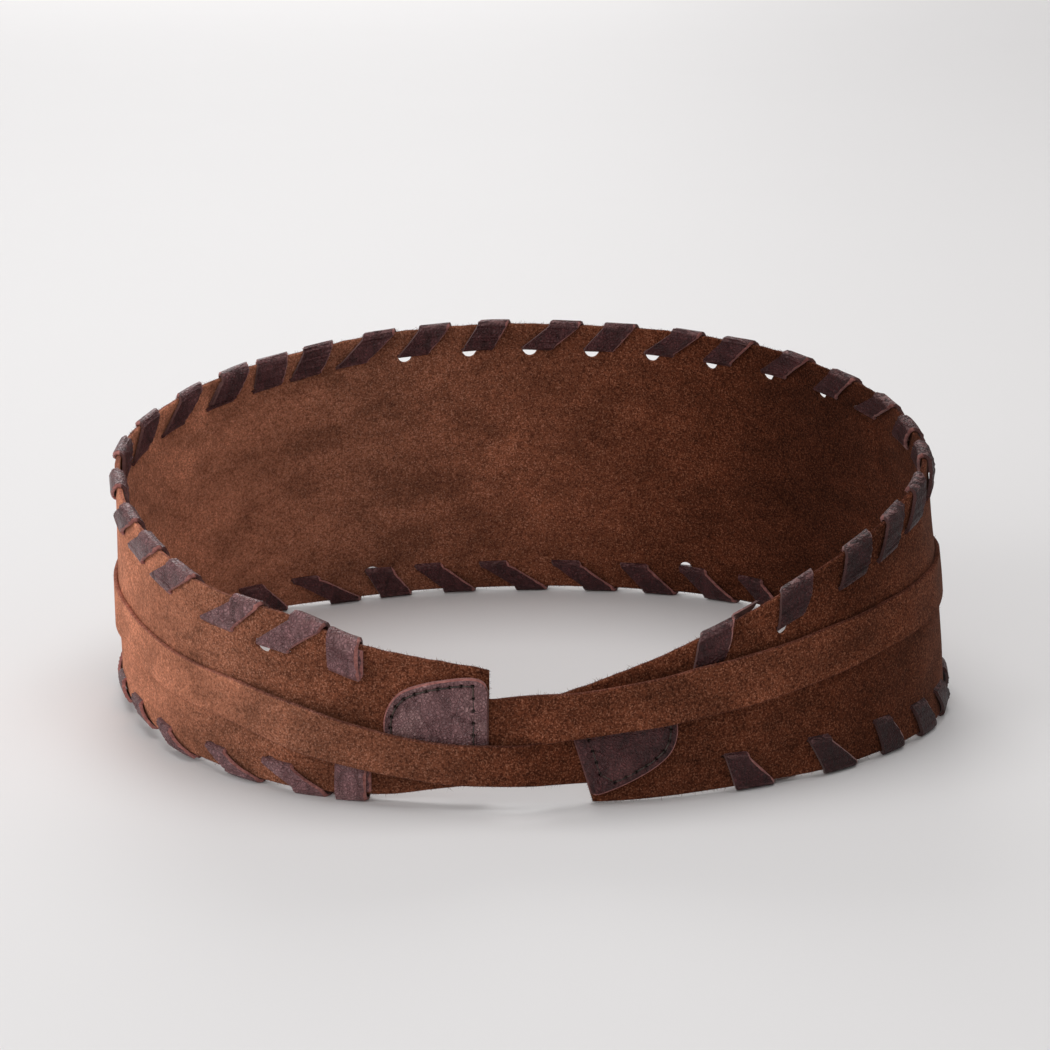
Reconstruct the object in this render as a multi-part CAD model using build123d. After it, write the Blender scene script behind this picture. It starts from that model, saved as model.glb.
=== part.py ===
from build123d import *
from bisect import bisect_right
from math import cos, hypot, pi, radians, sin
import os

os.makedirs("parts", exist_ok=True)

# All lengths in mm. +Z up, the open front of the band faces -Y, the loop stands on its lower lacing.

# --- loop the band is bent into (measured at floor level) ---
LOOP_HALF_WIDTH = 101.7
LOOP_HALF_DEPTH = 76.0
LOOP_COS = (-0.012, -0.008, -0.001, 0.004, -0.006, 0.002, -0.002)
LOOP_SIN = (0.0, -0.001, 0.001, -0.002, 0.0135, 0.004, -0.007)
LEAN_MEAN = -0.059
LEAN_SIDE = -0.059
ORIGIN_SHIFT = (-0.443, -1.236)

# --- suede band: (distance along the loop from the back, height) of its two edges ---
BAND_THICKNESS = 1.2
BAND_LEFT_END = -268.8
BAND_RIGHT_TOP = 271.0
BAND_RIGHT_BOTTOM = 263.5
TOP_EDGE = (
    (-268.8, 30.8), (-240.0, 36.0), (-225.0, 40.8), (-200.0, 43.9), (-173.0, 49.5), (-140.0, 56.0),
    (-105.0, 63.0), (-66.0, 70.3), (-33.0, 74.6), (0.0, 75.8), (37.0, 75.2), (70.0, 73.8),
    (109.0, 69.8), (140.0, 64.0), (172.0, 57.2), (200.0, 49.6), (230.0, 38.8), (250.0, 32.0), (271.0, 25.2),
)
BOTTOM_EDGE = ((-268.8, 5.0), (-258.0, 3.6), (-246.0, 1.6), (-234.0, 1.1), (230.0, 1.1), (263.5, 0.4), (271.0, 0.4))

# --- whip lacing: where the lace crosses each edge ---
LACE_THICKNESS = 0.8
LACE_CLEARANCE = 0.3
LACE_RUNG = 8.4
WRAP_RUNG = 7.0
HOLE_DEPTH = 8.0
SLOT_HEIGHT = 2.3
SLOT_MARGIN = 0.5
TOP_STITCHES = (
    -237.0, -228.5, -213.0, -192.0, -178.0, -164.0, -146.0, -129.0, -113.0, -96.0, -82.0, -71.0, -58.0, -41.0,
    -26.0, -10.0, 10.0, 25.0, 45.0, 61.0, 81.0, 99.0, 118.0, 132.0, 147.0, 165.0, 180.0, 195.0, 214.0, 235.0,
)
BOTTOM_STITCHES = (
    -238.5, -229.0, -211.0, -190.0, -172.0, -154.0, -137.0, -121.0, -104.0, -88.0, -72.0, -51.0, -37.0, -19.0,
    1.0, 20.0, 36.5, 54.0, 71.5, 88.0, 105.0, 121.0, 138.0, 155.0, 172.0, 188.0, 203.0, 226.0,
)
JOIN_STITCH = 10
TAIL_BACKSTEP = 9.0

# --- end patches, stitched over the strap roots ---
PATCH_THICKNESS = 1.4
PATCH_GAP = 0.04
PATCH_OUTLINE = ((0.4, 9.2), (3.2, 11.2), (9.0, 10.9), (15.0, 9.8), (19.6, 7.8), (22.3, 4.4), (23.2, 0.0))
LEFT_PATCH_AT = (-268.8, 17.9, 0.0)
RIGHT_PATCH_AT = (267.3, 12.9, 16.8)
POCKET_DEPTH = 0.76
POCKET_LENGTH = 12.5
THREAD_INSET = 1.6
THREAD_PITCH = 2.5
THREAD_ROW = 3.4
THREAD_DIAMETER = 0.4
THREAD_HOLE = 0.5
THREAD_LIFT = 0.03
THREAD_BAR = 0.28

# --- tie straps: (distance along the loop, height of the middle, gap of the inner face from mid-band) ---
STRAP_WIDTH = 10.6
STRAP_THICKNESS = 1.2
ROOT_THICKNESS = 0.56
ROOT_GAP = 0.68
STRAP_ROOT_LEFT = 19.6
STRAP_ROOT_RIGHT = 10.3
LEFT_STRAP_RUN = (
    (277.6, 19.95, 1.6), (271.0, 20.6, 2.55), (262.0, 21.6, 2.6), (246.0, 23.4, 2.6), (238.0, 24.4, 2.1),
    (226.0, 25.6, 1.9), (213.0, 27.1, 1.2), (199.0, 28.8, 0.75), (185.0, 30.6, 0.7), (165.0, 32.3, 0.7),
    (130.0, 34.0, 0.7), (90.0, 35.0, 0.7), (50.0, 35.4, 0.7), (24.0, 35.6, 0.8),
)
RIGHT_STRAP_RUN = (
    (-277.6, 9.25, 2.2), (-268.0, 9.1, 2.6), (-258.0, 9.9, 2.65), (-247.0, 11.6, 2.9), (-238.0, 13.4, 2.9),
    (-225.0, 15.9, 2.2), (-212.0, 17.6, 1.2), (-197.0, 19.0, 0.75), (-180.0, 20.2, 0.7), (-160.0, 21.8, 0.7),
    (-130.0, 25.5, 0.7), (-90.0, 30.5, 0.7), (-50.0, 34.5, 0.7), (-24.0, 35.6, 0.8),
)

# --- half knot that ties the two straps at the back ---
KNOT_HEIGHT = 30.0
KNOT_HALF_LENGTH = 8.0
KNOT_RADIUS = 1.55
KNOT_OFFSET = 4.5
BUNCH_RADIAL = 2.8
BUNCH_TANGENT = 4.2
TAIL_RUN = ((4.0, 3.0, 5.2, 3.0), (8.5, 6.5, 8.4, 1.8), (12.0, 11.5, 10.4, 1.2), (15.0, 18.0, 10.6, 1.2),
            (17.5, 25.0, 10.6, 1.2))

LOOP_STEPS = 1440
LEVEL_LIMIT = 1e-6
HALF_BAND = BAND_THICKNESS / 2


def loop_radius(phi):
    swell = sum(LOOP_COS[n] * cos(n * phi) + LOOP_SIN[n] * sin(n * phi) for n in range(7))
    return (1 + swell) / hypot(sin(phi) / LOOP_HALF_WIDTH, cos(phi) / LOOP_HALF_DEPTH)


def loop_point(phi):
    return loop_radius(phi) * sin(phi), loop_radius(phi) * cos(phi)


def arc_table():
    """Angle from the back against distance along the loop, over one turn each way from the back."""
    angles = [-pi + 2 * pi * i / LOOP_STEPS for i in range(LOOP_STEPS + 1)]
    points = [loop_point(a) for a in angles]
    arcs = [0.0]
    for (x0, y0), (x1, y1) in zip(points, points[1:]):
        arcs.append(arcs[-1] + hypot(x1 - x0, y1 - y0))
    back = arcs[LOOP_STEPS // 2]
    return angles, [a - back for a in arcs]


ANGLES, ARCS = arc_table()
PERIMETER = ARCS[-1] - ARCS[0]


def loop_angle(s):
    turns = 0
    while s > ARCS[-1]:
        s -= PERIMETER
        turns += 1
    while s < ARCS[0]:
        s += PERIMETER
        turns -= 1
    i = min(max(bisect_right(ARCS, s) - 1, 0), LOOP_STEPS - 1)
    part = (s - ARCS[i]) / (ARCS[i + 1] - ARCS[i])
    return ANGLES[i] + part * (ANGLES[i + 1] - ANGLES[i]) + 2 * pi * turns


def outward(phi):
    x0, y0 = loop_point(phi - 1e-4)
    x1, y1 = loop_point(phi + 1e-4)
    size = hypot(x1 - x0, y1 - y0)
    return -(y1 - y0) / size, (x1 - x0) / size


def at(s, z, n):
    """Point at distance s along the loop, height z, and n outward from the middle of the band."""
    phi = loop_angle(s)
    x, y = loop_point(phi)
    nx, ny = outward(phi)
    off = n + (LEAN_MEAN + LEAN_SIDE * sin(phi)) * z
    return Vector(x + nx * off + ORIGIN_SHIFT[0], y + ny * off + ORIGIN_SHIFT[1], z)


def along(profile, s):
    """Smooth monotone curve through (s, value) stations; held at its end values outside them."""
    xs = [p[0] for p in profile]
    if s <= xs[0]:
        return profile[0][1]
    if s >= xs[-1]:
        return profile[-1][1]
    slopes = [(b[1] - a[1]) / (b[0] - a[0]) for a, b in zip(profile, profile[1:])]
    tangents = [slopes[0]]
    for a, b in zip(slopes, slopes[1:]):
        tangents.append(0.0 if a * b <= 0 else 2 * a * b / (a + b))
    tangents.append(slopes[-1])
    i = bisect_right(xs, s) - 1
    h = xs[i + 1] - xs[i]
    t = (s - xs[i]) / h
    y0, y1 = profile[i][1], profile[i + 1][1]
    m0, m1 = tangents[i] * h, tangents[i + 1] * h
    return y0 * (1 + 2 * t) * (1 - t) ** 2 + m0 * t * (1 - t) ** 2 + y1 * t * t * (3 - 2 * t) - m1 * t * t * (1 - t)


def top_edge(s):
    return along(TOP_EDGE, s)


def bottom_edge(s):
    return along(BOTTOM_EDGE, s)


def cap(corners):
    a, b, c, d = corners
    return Face.make_surface_from_array_of_points([[a, b], [d, c]], min_deg=1, max_deg=1)


def side_face(a0, b0, a1, b1):
    """Face between the straight edges a0-b0 and a1-b1: flat where all four corners lie at one height."""
    heights = [p.Z for p in (a0, b0, a1, b1)]
    if max(heights) - min(heights) < LEVEL_LIMIT:
        return Face(Wire.make_polygon([a0, b0, b1, a1], close=True))
    return Face.make_surface_from_curves(Edge.make_line(a0, b0), Edge.make_line(a1, b1))


def skin(sections, ruled):
    """Solid through a row of four-cornered sections, either straight or smooth from one to the next."""
    faces = [cap(sections[0]), cap(sections[-1])]
    if ruled:
        for a, b in zip(sections, sections[1:]):
            for i in range(4):
                j = (i + 1) % 4
                faces.append(side_face(a[i], b[i], a[j], b[j]))
        return Solid(Shell(faces))
    places = [0.0]
    for a, b in zip(sections, sections[1:]):
        places.append(places[-1] + sum((q - p).length for p, q in zip(a, b)) / 4)
    places = [p / places[-1] for p in places]
    rails = [Edge.make_spline([corners[i] for corners in sections], parameters=places) for i in range(4)]
    for i in range(4):
        faces.append(Face.make_surface_from_curves(rails[i], rails[(i + 1) % 4]))
    return Solid(Shell(faces))


# ---------------------------------------------------------------- suede band
def end_slant(s):
    """Share of the slanted right-hand cut that a section at s already takes up."""
    return min(max((s - 215.0) / (BAND_RIGHT_TOP - 215.0), 0.0), 1.0)


def band_section(s):
    low = s - (BAND_RIGHT_TOP - BAND_RIGHT_BOTTOM) * end_slant(s)
    corners = ((low, bottom_edge(low), -1), (s, top_edge(s), -1), (s, top_edge(s), 1), (low, bottom_edge(low), 1))
    return [at(p, z, side * HALF_BAND) for p, z, side in corners]


def lace_advance(s):
    """How far along the band the lace travels on the outer face between edge and hole."""
    return along(((-240.0, 9.4), (95.0, 9.2), (175.0, 5.5), (235.0, 3.0)), s)


def hole_stations(stitches):
    """Hole under each stitch: the first wrap goes straight down, the others slant."""
    return [stitches[0]] + [s + lace_advance(s) for s in stitches[1:]]


def slot_cutter(s, upper):
    sign = 1 if upper else -1
    edge = top_edge if upper else bottom_edge
    depth = HOLE_DEPTH + SLOT_HEIGHT / 2
    half = (LACE_RUNG if s > -230.0 else WRAP_RUNG) / 2
    middle = at(s, edge(s) - sign * depth, 0)
    run = at(s + half, edge(s + half) - sign * depth, 0) - at(s - half, edge(s - half) - sign * depth, 0)
    normal = Vector(*outward(loop_angle(s)), 0)
    plane = Plane(origin=middle, x_dir=run.normalized(), z_dir=normal)
    return plane * Box(2 * half + 2 * SLOT_MARGIN, SLOT_HEIGHT, 5 * BAND_THICKNESS)


# ---------------------------------------------------------------- laces
def lace_section(s, rung, near, far, upper):
    """Cross-section of the lace: near and far are (offset n, height beyond the edge) of its two faces."""
    sign = 1 if upper else -1
    edge = top_edge if upper else bottom_edge
    low, high = s - rung / 2, s + rung / 2
    spots = ((low, near), (low, far), (high, far), (high, near))
    return [at(p, edge(p) + sign * v, n) for p, (n, v) in spots]


def corner(s, rung, side, beyond, layer, upper):
    """Folded corner of the lace: side -1 inside, +1 outside; beyond True over the edge, False in the hole."""
    lift = layer * (LACE_THICKNESS + 0.1)
    n = side * (HALF_BAND + LACE_CLEARANCE + lift)
    far_n = n + side * LACE_THICKNESS
    if beyond:
        v, far_v = LACE_CLEARANCE, LACE_CLEARANCE + LACE_THICKNESS
    else:
        v = -HOLE_DEPTH - 0.1 - lift
        far_v = v - LACE_THICKNESS
    return lace_section(s, rung, (n, v), (far_n, far_v), upper)


def cut_end(s, rung, side, height, layer, upper):
    n = side * (HALF_BAND + LACE_CLEARANCE + layer * (LACE_THICKNESS + 0.1))
    return lace_section(s, rung, (n, height), (n + side * LACE_THICKNESS, height), upper)


def halfway(s, hole, upper):
    """Section half way down the outer face, so that the lace follows the round of the band."""
    return cut_end((s + hole) / 2, LACE_RUNG, 1, -HOLE_DEPTH / 2, 0, upper)


def first_wrap(stitches, holes, upper):
    """Lace end tucked under its own first, doubled wrap."""
    s = stitches[0]
    return [
        cut_end(s, WRAP_RUNG, 1, -1.2, 0, upper),
        corner(s, WRAP_RUNG, 1, False, 0, upper),
        corner(s, WRAP_RUNG, -1, False, 0, upper),
        corner(s, WRAP_RUNG, -1, True, 0, upper),
        corner(s, WRAP_RUNG, 1, True, 1, upper),
        corner(s, WRAP_RUNG, 1, False, 1, upper),
        corner(s, WRAP_RUNG, -1, False, 1, upper),
        corner(stitches[1], LACE_RUNG - 1.0, -1, True, 1, upper),
        corner(stitches[1], LACE_RUNG - 1.0, 1, True, 0, upper),
        halfway(stitches[1], holes[1], upper),
    ]


def running_stitches(stitches, holes, first, last, upper):
    """From the hole before stitch first, up the inner face, over the edge and down the outer face to the next hole."""
    sections = []
    for k in range(first, last):
        sections.append(corner(holes[k - 1], LACE_RUNG, 1, False, 0, upper))
        sections.append(corner(holes[k - 1], LACE_RUNG, -1, False, 0, upper))
        sections.append(corner(stitches[k], LACE_RUNG, -1, True, 0, upper))
        sections.append(corner(stitches[k], LACE_RUNG, 1, True, 0, upper))
        sections.append(halfway(stitches[k], holes[k], upper))
    return sections


def last_tuck(stitches, holes, upper):
    """Lace end led back inside behind the last stitch."""
    return [
        corner(holes[-1], LACE_RUNG, 1, False, 0, upper),
        corner(holes[-1], LACE_RUNG, -1, False, 1, upper),
        cut_end(stitches[-1] - TAIL_BACKSTEP, LACE_RUNG - 2.0, -1, 0.4, 1, upper),
    ]


def lace_paths(stitches, upper, join):
    holes = hole_stations(stitches)
    count = len(stitches)
    if join is None:
        row = first_wrap(stitches, holes, upper) + running_stitches(stitches, holes, 2, count, upper)
        return [row + last_tuck(stitches, holes, upper)]
    first = first_wrap(stitches, holes, upper) + running_stitches(stitches, holes, 2, join, upper)
    first.append(corner(holes[join - 1], LACE_RUNG, 1, False, 0, upper))
    first.append(corner(holes[join - 1], LACE_RUNG, -1, False, 0, upper))
    first.append(cut_end(stitches[join] - 0.6, LACE_RUNG, -1, -1.0, 0, upper))
    second = [
        cut_end(holes[join - 1] + 0.7, LACE_RUNG, -1, -6.6, 1, upper),
        corner(stitches[join], LACE_RUNG, -1, True, 1, upper),
        corner(stitches[join], LACE_RUNG, 1, True, 0, upper),
        halfway(stitches[join], holes[join], upper),
    ]
    second += running_stitches(stitches, holes, join + 1, count, upper) + last_tuck(stitches, holes, upper)
    return [first, second]


# ---------------------------------------------------------------- patches
def patch_plane(place, into):
    """Plane on the band face: x runs into the band from its end, y up along the end edge, z outward."""
    s, z, slant = place
    middle_s = s + into * 11.5
    middle_z = z + 11.5 * sin(radians(slant))
    normal = Vector(*outward(loop_angle(middle_s)), 0)
    level = normal.cross(Vector(0, 0, 1)) * (1 if into < 0 else -1)
    if level.dot(at(middle_s + into, middle_z, 0) - at(middle_s, middle_z, 0)) < 0:
        level = level * -1
    x_dir = level * cos(radians(slant)) + Vector(0, 0, sin(radians(slant)))
    origin = at(middle_s, middle_z, 0) - x_dir * 11.5
    return origin, x_dir, normal


def mirror_outline(square):
    upper = list(PATCH_OUTLINE)
    if square:
        upper[0] = (0.4, 11.2)
        upper[1] = (3.2, 11.3)
    return upper, [(x, -y) for x, y in reversed(upper[:-1])]


def on_plane(frame, x, y):
    origin, x_dir, normal = frame
    y_dir = normal.cross(x_dir)
    if y_dir.Z < 0:
        y_dir = y_dir * -1
    return origin + x_dir * x + y_dir * y


def outline_prism(frame, square):
    """The patch outline swept through the band along its normal."""
    upper, lower = mirror_outline(square)
    points = [on_plane(frame, x, y) for x, y in upper + lower]
    normal = frame[2]
    start = [p - normal * 8 for p in points]
    wire = Wire([Edge.make_spline(start), Edge.make_line(start[-1], start[0])])
    return Solid.extrude(Face(wire), normal * 16)


def shell_between(s0, s1, z0, z1, n0, n1):
    """Piece of a curved plate that follows the band."""
    count = 6
    sections = []
    for i in range(count + 1):
        s = s0 + (s1 - s0) * i / count
        sections.append([at(s, z0, n0), at(s, z1, n0), at(s, z1, n1), at(s, z0, n1)])
    return skin(sections, False)


def thread_spots(square):
    """Needle holes on the patch: around the curve and down the row beside the band end."""
    upper, lower = mirror_outline(square)
    curve = Edge.make_spline([Vector(x, y, 0) for x, y in upper + lower])
    inner = []
    steps = 240
    for i in range(steps + 1):
        p = curve.position_at(i / steps)
        t = curve.tangent_at(i / steps)
        q = Vector(p.X + t.Y * THREAD_INSET, p.Y - t.X * THREAD_INSET, 0)
        if q.X >= THREAD_ROW:
            inner.append(q)
    spots = [inner[0]]
    for q in inner[1:]:
        if (q - spots[-1]).length >= THREAD_PITCH:
            spots.append(q)
    span = spots[0].Y - spots[-1].Y
    rows = int(span / THREAD_PITCH)
    for i in range(1, rows):
        spots.append(Vector(THREAD_ROW, spots[-1 - (i - 1)].Y + span * i / rows, 0))
    return [(q.X, q.Y) for q in spots]


def surface_spot(frame, x, y):
    """Band coordinates (s, z) of a spot given on the patch plane, found by stepping along the loop."""
    target = on_plane(frame, x, y)
    z = target.Z
    s = frame_station(frame)
    for _ in range(12):
        here = at(s, z, 0)
        ahead = at(s + 0.5, z, 0)
        step = (ahead - here) * 2
        s += (target - here).dot(step) / step.dot(step)
    return s, z


def frame_station(frame):
    return LEFT_PATCH_AT[0] if frame[0].X < 0 else RIGHT_PATCH_AT[0]


def peg(s, z, diameter, n0, n1):
    phi = loop_angle(s)
    plane = Plane(origin=at(s, z, n0), z_dir=Vector(*outward(phi), 0))
    return plane * Cylinder(diameter / 2, n1 - n0, align=(Align.CENTER, Align.CENTER, Align.MIN))


def thread_bar(a, b, n0):
    """Straight square bar of thread between two needle holes, its inner side n0 from mid-band."""
    start = at(a[0], a[1], n0 + THREAD_BAR / 2)
    run = at(b[0], b[1], n0 + THREAD_BAR / 2) - start
    side = run.cross(Vector(*outward(loop_angle(a[0])), 0))
    plane = Plane(origin=start, x_dir=side.normalized(), z_dir=run.normalized())
    return plane * Box(THREAD_BAR, THREAD_BAR, run.length, align=(Align.CENTER, Align.CENTER, Align.MIN))


def patch_set(place, into, square):
    frame = patch_plane(place, into)
    plate = shell_between(
        place[0] - 30 * (into < 0) - 6, place[0] + 30 * (into > 0) + 6, 0.2, 36.0,
        HALF_BAND + PATCH_GAP, HALF_BAND + PATCH_THICKNESS,
    )
    patch = plate & outline_prism(frame, square)
    spots = [surface_spot(frame, x, y) for x, y in thread_spots(square)]
    outer = HALF_BAND + PATCH_THICKNESS
    head = THREAD_LIFT + THREAD_BAR + 0.1
    pegs = [peg(s, z, THREAD_DIAMETER, -HALF_BAND - head, outer + head) for s, z in spots]
    bars = []
    for a, b in zip(spots, spots[1:] + spots[:1]):
        bars.append(thread_bar(a, b, outer + THREAD_LIFT))
        bars.append(thread_bar(a, b, -HALF_BAND - THREAD_LIFT - THREAD_BAR))
    thread = Part() + (pegs + bars)
    holes = [peg(s, z, THREAD_HOLE, -4.0, 6.0) for s, z in spots]
    return patch, thread, holes


# ---------------------------------------------------------------- straps
def flat_section(s, z, gap, heading, width, thickness, flip):
    """Strap section square to its heading, which is (ds, dz) along the band face."""
    size = hypot(*heading)
    ds, dz = heading[0] / size, heading[1] / size
    up = (-dz, ds) if ds > 0 else (dz, -ds)
    near, far = (gap, gap + thickness)
    corners = ((-1, near), (1, near), (1, far), (-1, far))
    if flip:
        corners = ((1, far), (-1, far), (-1, near), (1, near))
    half = width / 2
    return [at(s + side * half * up[0], z + side * half * up[1], n) for side, n in corners]


def knot_section(travel, theta):
    """Bunched strap in the half knot; the two straps twist round each other half a turn apart."""
    turn = -1 if travel > 0 else 1
    s = -travel * KNOT_HALF_LENGTH * (1 - 2 * theta / (3 * pi))
    radial = (cos(theta), turn * sin(theta))
    tangent = (-turn * sin(theta), cos(theta))
    z = KNOT_HEIGHT + KNOT_RADIUS * radial[0]
    n = KNOT_OFFSET + KNOT_RADIUS * radial[1]
    corners = ((-1, -1), (1, -1), (1, 1), (-1, 1))
    points = []
    for r, t in corners:
        dr, dt = r * BUNCH_RADIAL / 2, t * BUNCH_TANGENT / 2
        points.append(at(s, z + dr * radial[0] + dt * tangent[0], n + dr * radial[1] + dt * tangent[1]))
    return points


def strap_sections(root, run, travel):
    """travel is +1 for a strap that reaches the knot moving toward +s, and -1 for the other."""
    sections = []
    for s, z, gap, thickness in root:
        sections.append(flat_section(s, z, gap, (travel, 0.0), STRAP_WIDTH, thickness, False))
    heights = sorted((s, z) for s, z, gap in run)
    gaps = sorted((s, gap) for s, z, gap in run)
    start, end = run[0][0], run[-1][0]
    count = 26
    for i in range(count + 1):
        s = start + (end - start) * i / count
        slope = (along(heights, s + 1) - along(heights, s - 1)) / 2
        z, gap = along(heights, s), along(gaps, s)
        sections.append(flat_section(s, z, gap, (travel, travel * slope), STRAP_WIDTH, STRAP_THICKNESS, False))
    for share in (0.45, 0.75):
        s = end + (-travel * KNOT_HALF_LENGTH - end) * share
        width = STRAP_WIDTH + (BUNCH_RADIAL - STRAP_WIDTH) * share
        thickness = STRAP_THICKNESS + (BUNCH_TANGENT - STRAP_THICKNESS) * share
        gap = run[-1][2] + (KNOT_OFFSET - BUNCH_TANGENT / 2 - run[-1][2]) * share
        z = KNOT_HEIGHT + 0.15 + width / 2
        sections.append(flat_section(s, z, gap, (travel, 0.0), width, thickness, False))
    for i in range(19):
        sections.append(knot_section(travel, i * pi / 6))
    tail_gap = KNOT_OFFSET - BUNCH_TANGENT / 2
    before = (0.0, KNOT_RADIUS)
    for i, (out, drop, width, thickness) in enumerate(TAIL_RUN):
        gap = max(tail_gap - 0.35 * (i + 1), 1.9)
        heading = (travel * (out - before[0]), -(drop - before[1]))
        before = (out, drop)
        s = travel * (KNOT_HALF_LENGTH + out)
        sections.append(flat_section(s, KNOT_HEIGHT - drop, gap, heading, width, thickness, True))
    return sections


def build():
    band_stations = [BAND_LEFT_END + (BAND_RIGHT_TOP - BAND_LEFT_END) * i / 44 for i in range(45)]
    band = skin([band_section(s) for s in band_stations], False)
    slots = []
    for stitches, upper in ((TOP_STITCHES, True), (BOTTOM_STITCHES, False)):
        for s in hole_stations(stitches):
            slots.append(slot_cutter(s, upper))
    parts = {}
    for name, stitches, upper, join in (
        ("top_lace", TOP_STITCHES, True, JOIN_STITCH),
        ("bottom_lace", BOTTOM_STITCHES, False, None),
    ):
        paths = lace_paths(stitches, upper, join)
        names = [name] if join is None else [name + "_left", name + "_right"]
        for piece, path in zip(names, paths):
            parts[piece] = skin(path, True)

    left_patch, left_thread, left_holes = patch_set(LEFT_PATCH_AT, 1, False)
    right_patch, right_thread, right_holes = patch_set(RIGHT_PATCH_AT, -1, True)

    left_root = (
        (BAND_LEFT_END + 11.5, STRAP_ROOT_LEFT, ROOT_GAP, ROOT_THICKNESS),
        (BAND_LEFT_END + 6.0, STRAP_ROOT_LEFT, ROOT_GAP, ROOT_THICKNESS),
        (BAND_LEFT_END + 1.0, STRAP_ROOT_LEFT, ROOT_GAP, ROOT_THICKNESS),
        (BAND_LEFT_END - 1.0, STRAP_ROOT_LEFT + 0.03, ROOT_GAP, ROOT_THICKNESS),
        (BAND_LEFT_END - 4.5, STRAP_ROOT_LEFT + 0.1, 0.9, 0.95),
    )
    right_root = (
        (256.5, STRAP_ROOT_RIGHT, ROOT_GAP, ROOT_THICKNESS),
        (261.0, STRAP_ROOT_RIGHT, ROOT_GAP, ROOT_THICKNESS),
        (265.0, STRAP_ROOT_RIGHT - 0.1, ROOT_GAP, ROOT_THICKNESS),
        (269.0, STRAP_ROOT_RIGHT - 0.3, ROOT_GAP, ROOT_THICKNESS),
        (273.0, STRAP_ROOT_RIGHT - 0.6, 1.3, 0.95),
    )
    left_strap = skin(strap_sections(left_root, LEFT_STRAP_RUN, -1), False)
    right_strap = skin(strap_sections(right_root, RIGHT_STRAP_RUN, 1), False)

    reach = STRAP_WIDTH / 2 + 0.15
    left_pocket = shell_between(
        BAND_LEFT_END - 3, BAND_LEFT_END + POCKET_LENGTH, STRAP_ROOT_LEFT - reach, STRAP_ROOT_LEFT + reach,
        HALF_BAND - 0.3, HALF_BAND + POCKET_DEPTH,
    )
    right_pocket = shell_between(
        255.3, BAND_RIGHT_TOP + 3, STRAP_ROOT_RIGHT - reach - 0.5, STRAP_ROOT_RIGHT + reach + 0.1,
        HALF_BAND - 0.3, HALF_BAND + POCKET_DEPTH,
    )
    parts["suede_band"] = band - slots - left_holes - right_holes
    parts["left_end_patch"] = left_patch - left_pocket - left_holes
    parts["right_end_patch"] = right_patch - right_pocket - right_holes
    parts["left_tie_strap"] = left_strap - left_holes
    parts["right_tie_strap"] = right_strap - right_holes
    parts["left_patch_thread"] = left_thread
    parts["right_patch_thread"] = right_thread
    return parts


for node, shape in build().items():
    export_step(shape, f"parts/{node}.step")
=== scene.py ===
from math import cos, pi, radians, sin
import bpy
import numpy as np
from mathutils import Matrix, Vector


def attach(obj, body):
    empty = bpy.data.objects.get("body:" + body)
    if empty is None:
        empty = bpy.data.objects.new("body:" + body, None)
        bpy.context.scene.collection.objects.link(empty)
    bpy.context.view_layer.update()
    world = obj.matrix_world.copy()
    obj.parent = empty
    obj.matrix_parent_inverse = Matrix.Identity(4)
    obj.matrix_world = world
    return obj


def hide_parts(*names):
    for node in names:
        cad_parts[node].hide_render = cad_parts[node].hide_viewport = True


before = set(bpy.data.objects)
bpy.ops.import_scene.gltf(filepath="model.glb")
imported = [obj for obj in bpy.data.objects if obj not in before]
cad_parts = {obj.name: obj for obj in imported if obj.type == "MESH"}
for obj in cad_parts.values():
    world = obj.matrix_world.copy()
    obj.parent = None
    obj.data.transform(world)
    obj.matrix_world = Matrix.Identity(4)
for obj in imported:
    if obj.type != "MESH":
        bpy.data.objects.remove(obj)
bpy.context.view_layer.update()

# Lengths in this script are in millimetres, and every mesh is written in metres.
MM = 0.001
SEED = 11

# --- camera: the viewing angle and the distance of the reference view ---
CAMERA_PLACE = (-1.46, -606.46, 228.34)
CAMERA_TILT = 72.84
CAMERA_LENS = 89.163
SENSOR = 36.0

# --- loop of the band: the dimensions of the CAD model, with the lower edge lifted at the left ---
LOOP_HALF_WIDTH = 101.7
LOOP_HALF_DEPTH = 76.0
LOOP_COS = (-0.012, -0.008, -0.001, 0.004, -0.006, 0.002, -0.002)
LOOP_SIN = (0, -0.001, 0.001, -0.002, 0.0135, 0.004, -0.007)
LEAN_MEAN = -0.059
LEAN_SIDE = -0.059
ORIGIN_SHIFT = (-0.443, -1.236)

BAND_THICKNESS = 1.2
HALF_BAND = BAND_THICKNESS / 2
BAND_LEFT_END = -268.8
BAND_RIGHT_TOP = 271.0
BAND_RIGHT_BOTTOM = 263.5
SLANT_START = 215.0
TOP_EDGE = (
    (-268.8, 30.8), (-240, 36), (-225, 40.8), (-200, 43.9), (-173, 49.5), (-140, 56),
    (-105, 63), (-66, 70.3), (-33, 74.6), (0, 75.8), (37, 75.2), (70, 73.8),
    (109, 69.8), (140, 64), (172, 57.2), (200, 49.6), (230, 38.8), (250, 32), (271, 25.2),
)
BOTTOM_EDGE = (
    (-268.8, 5), (-258, 3.6), (-246, 1.6), (-234, 1.1), (-211, 1.2), (-190, 2), (-172, 3.3),
    (-150, 3), (-110, 1.4), (-60, 1.1), (230, 1.1), (263.5, 0.4), (271, 0.4),
)

# --- whip lacing ---
LACE_THICKNESS = 0.8
LACE_RUNG = 8.4
WRAP_RUNG = 7.0
LACE_RADIUS = 1.3
LAYER_STEP = 0.9
EDGE_FOLD = -0.6
HOLE_FOLD = -7.4
HOLE_DEPTH = 8.0
SLOT_MARGIN = 0.2
SLOT_REST = 1.0
GAP_CENTRE = 0.5
GAP_HALF = 0.43
GAP_DEPTH = 2.3
SLOT_LEAST = 0.35
SLOT_LIFT = 0.35
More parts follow.
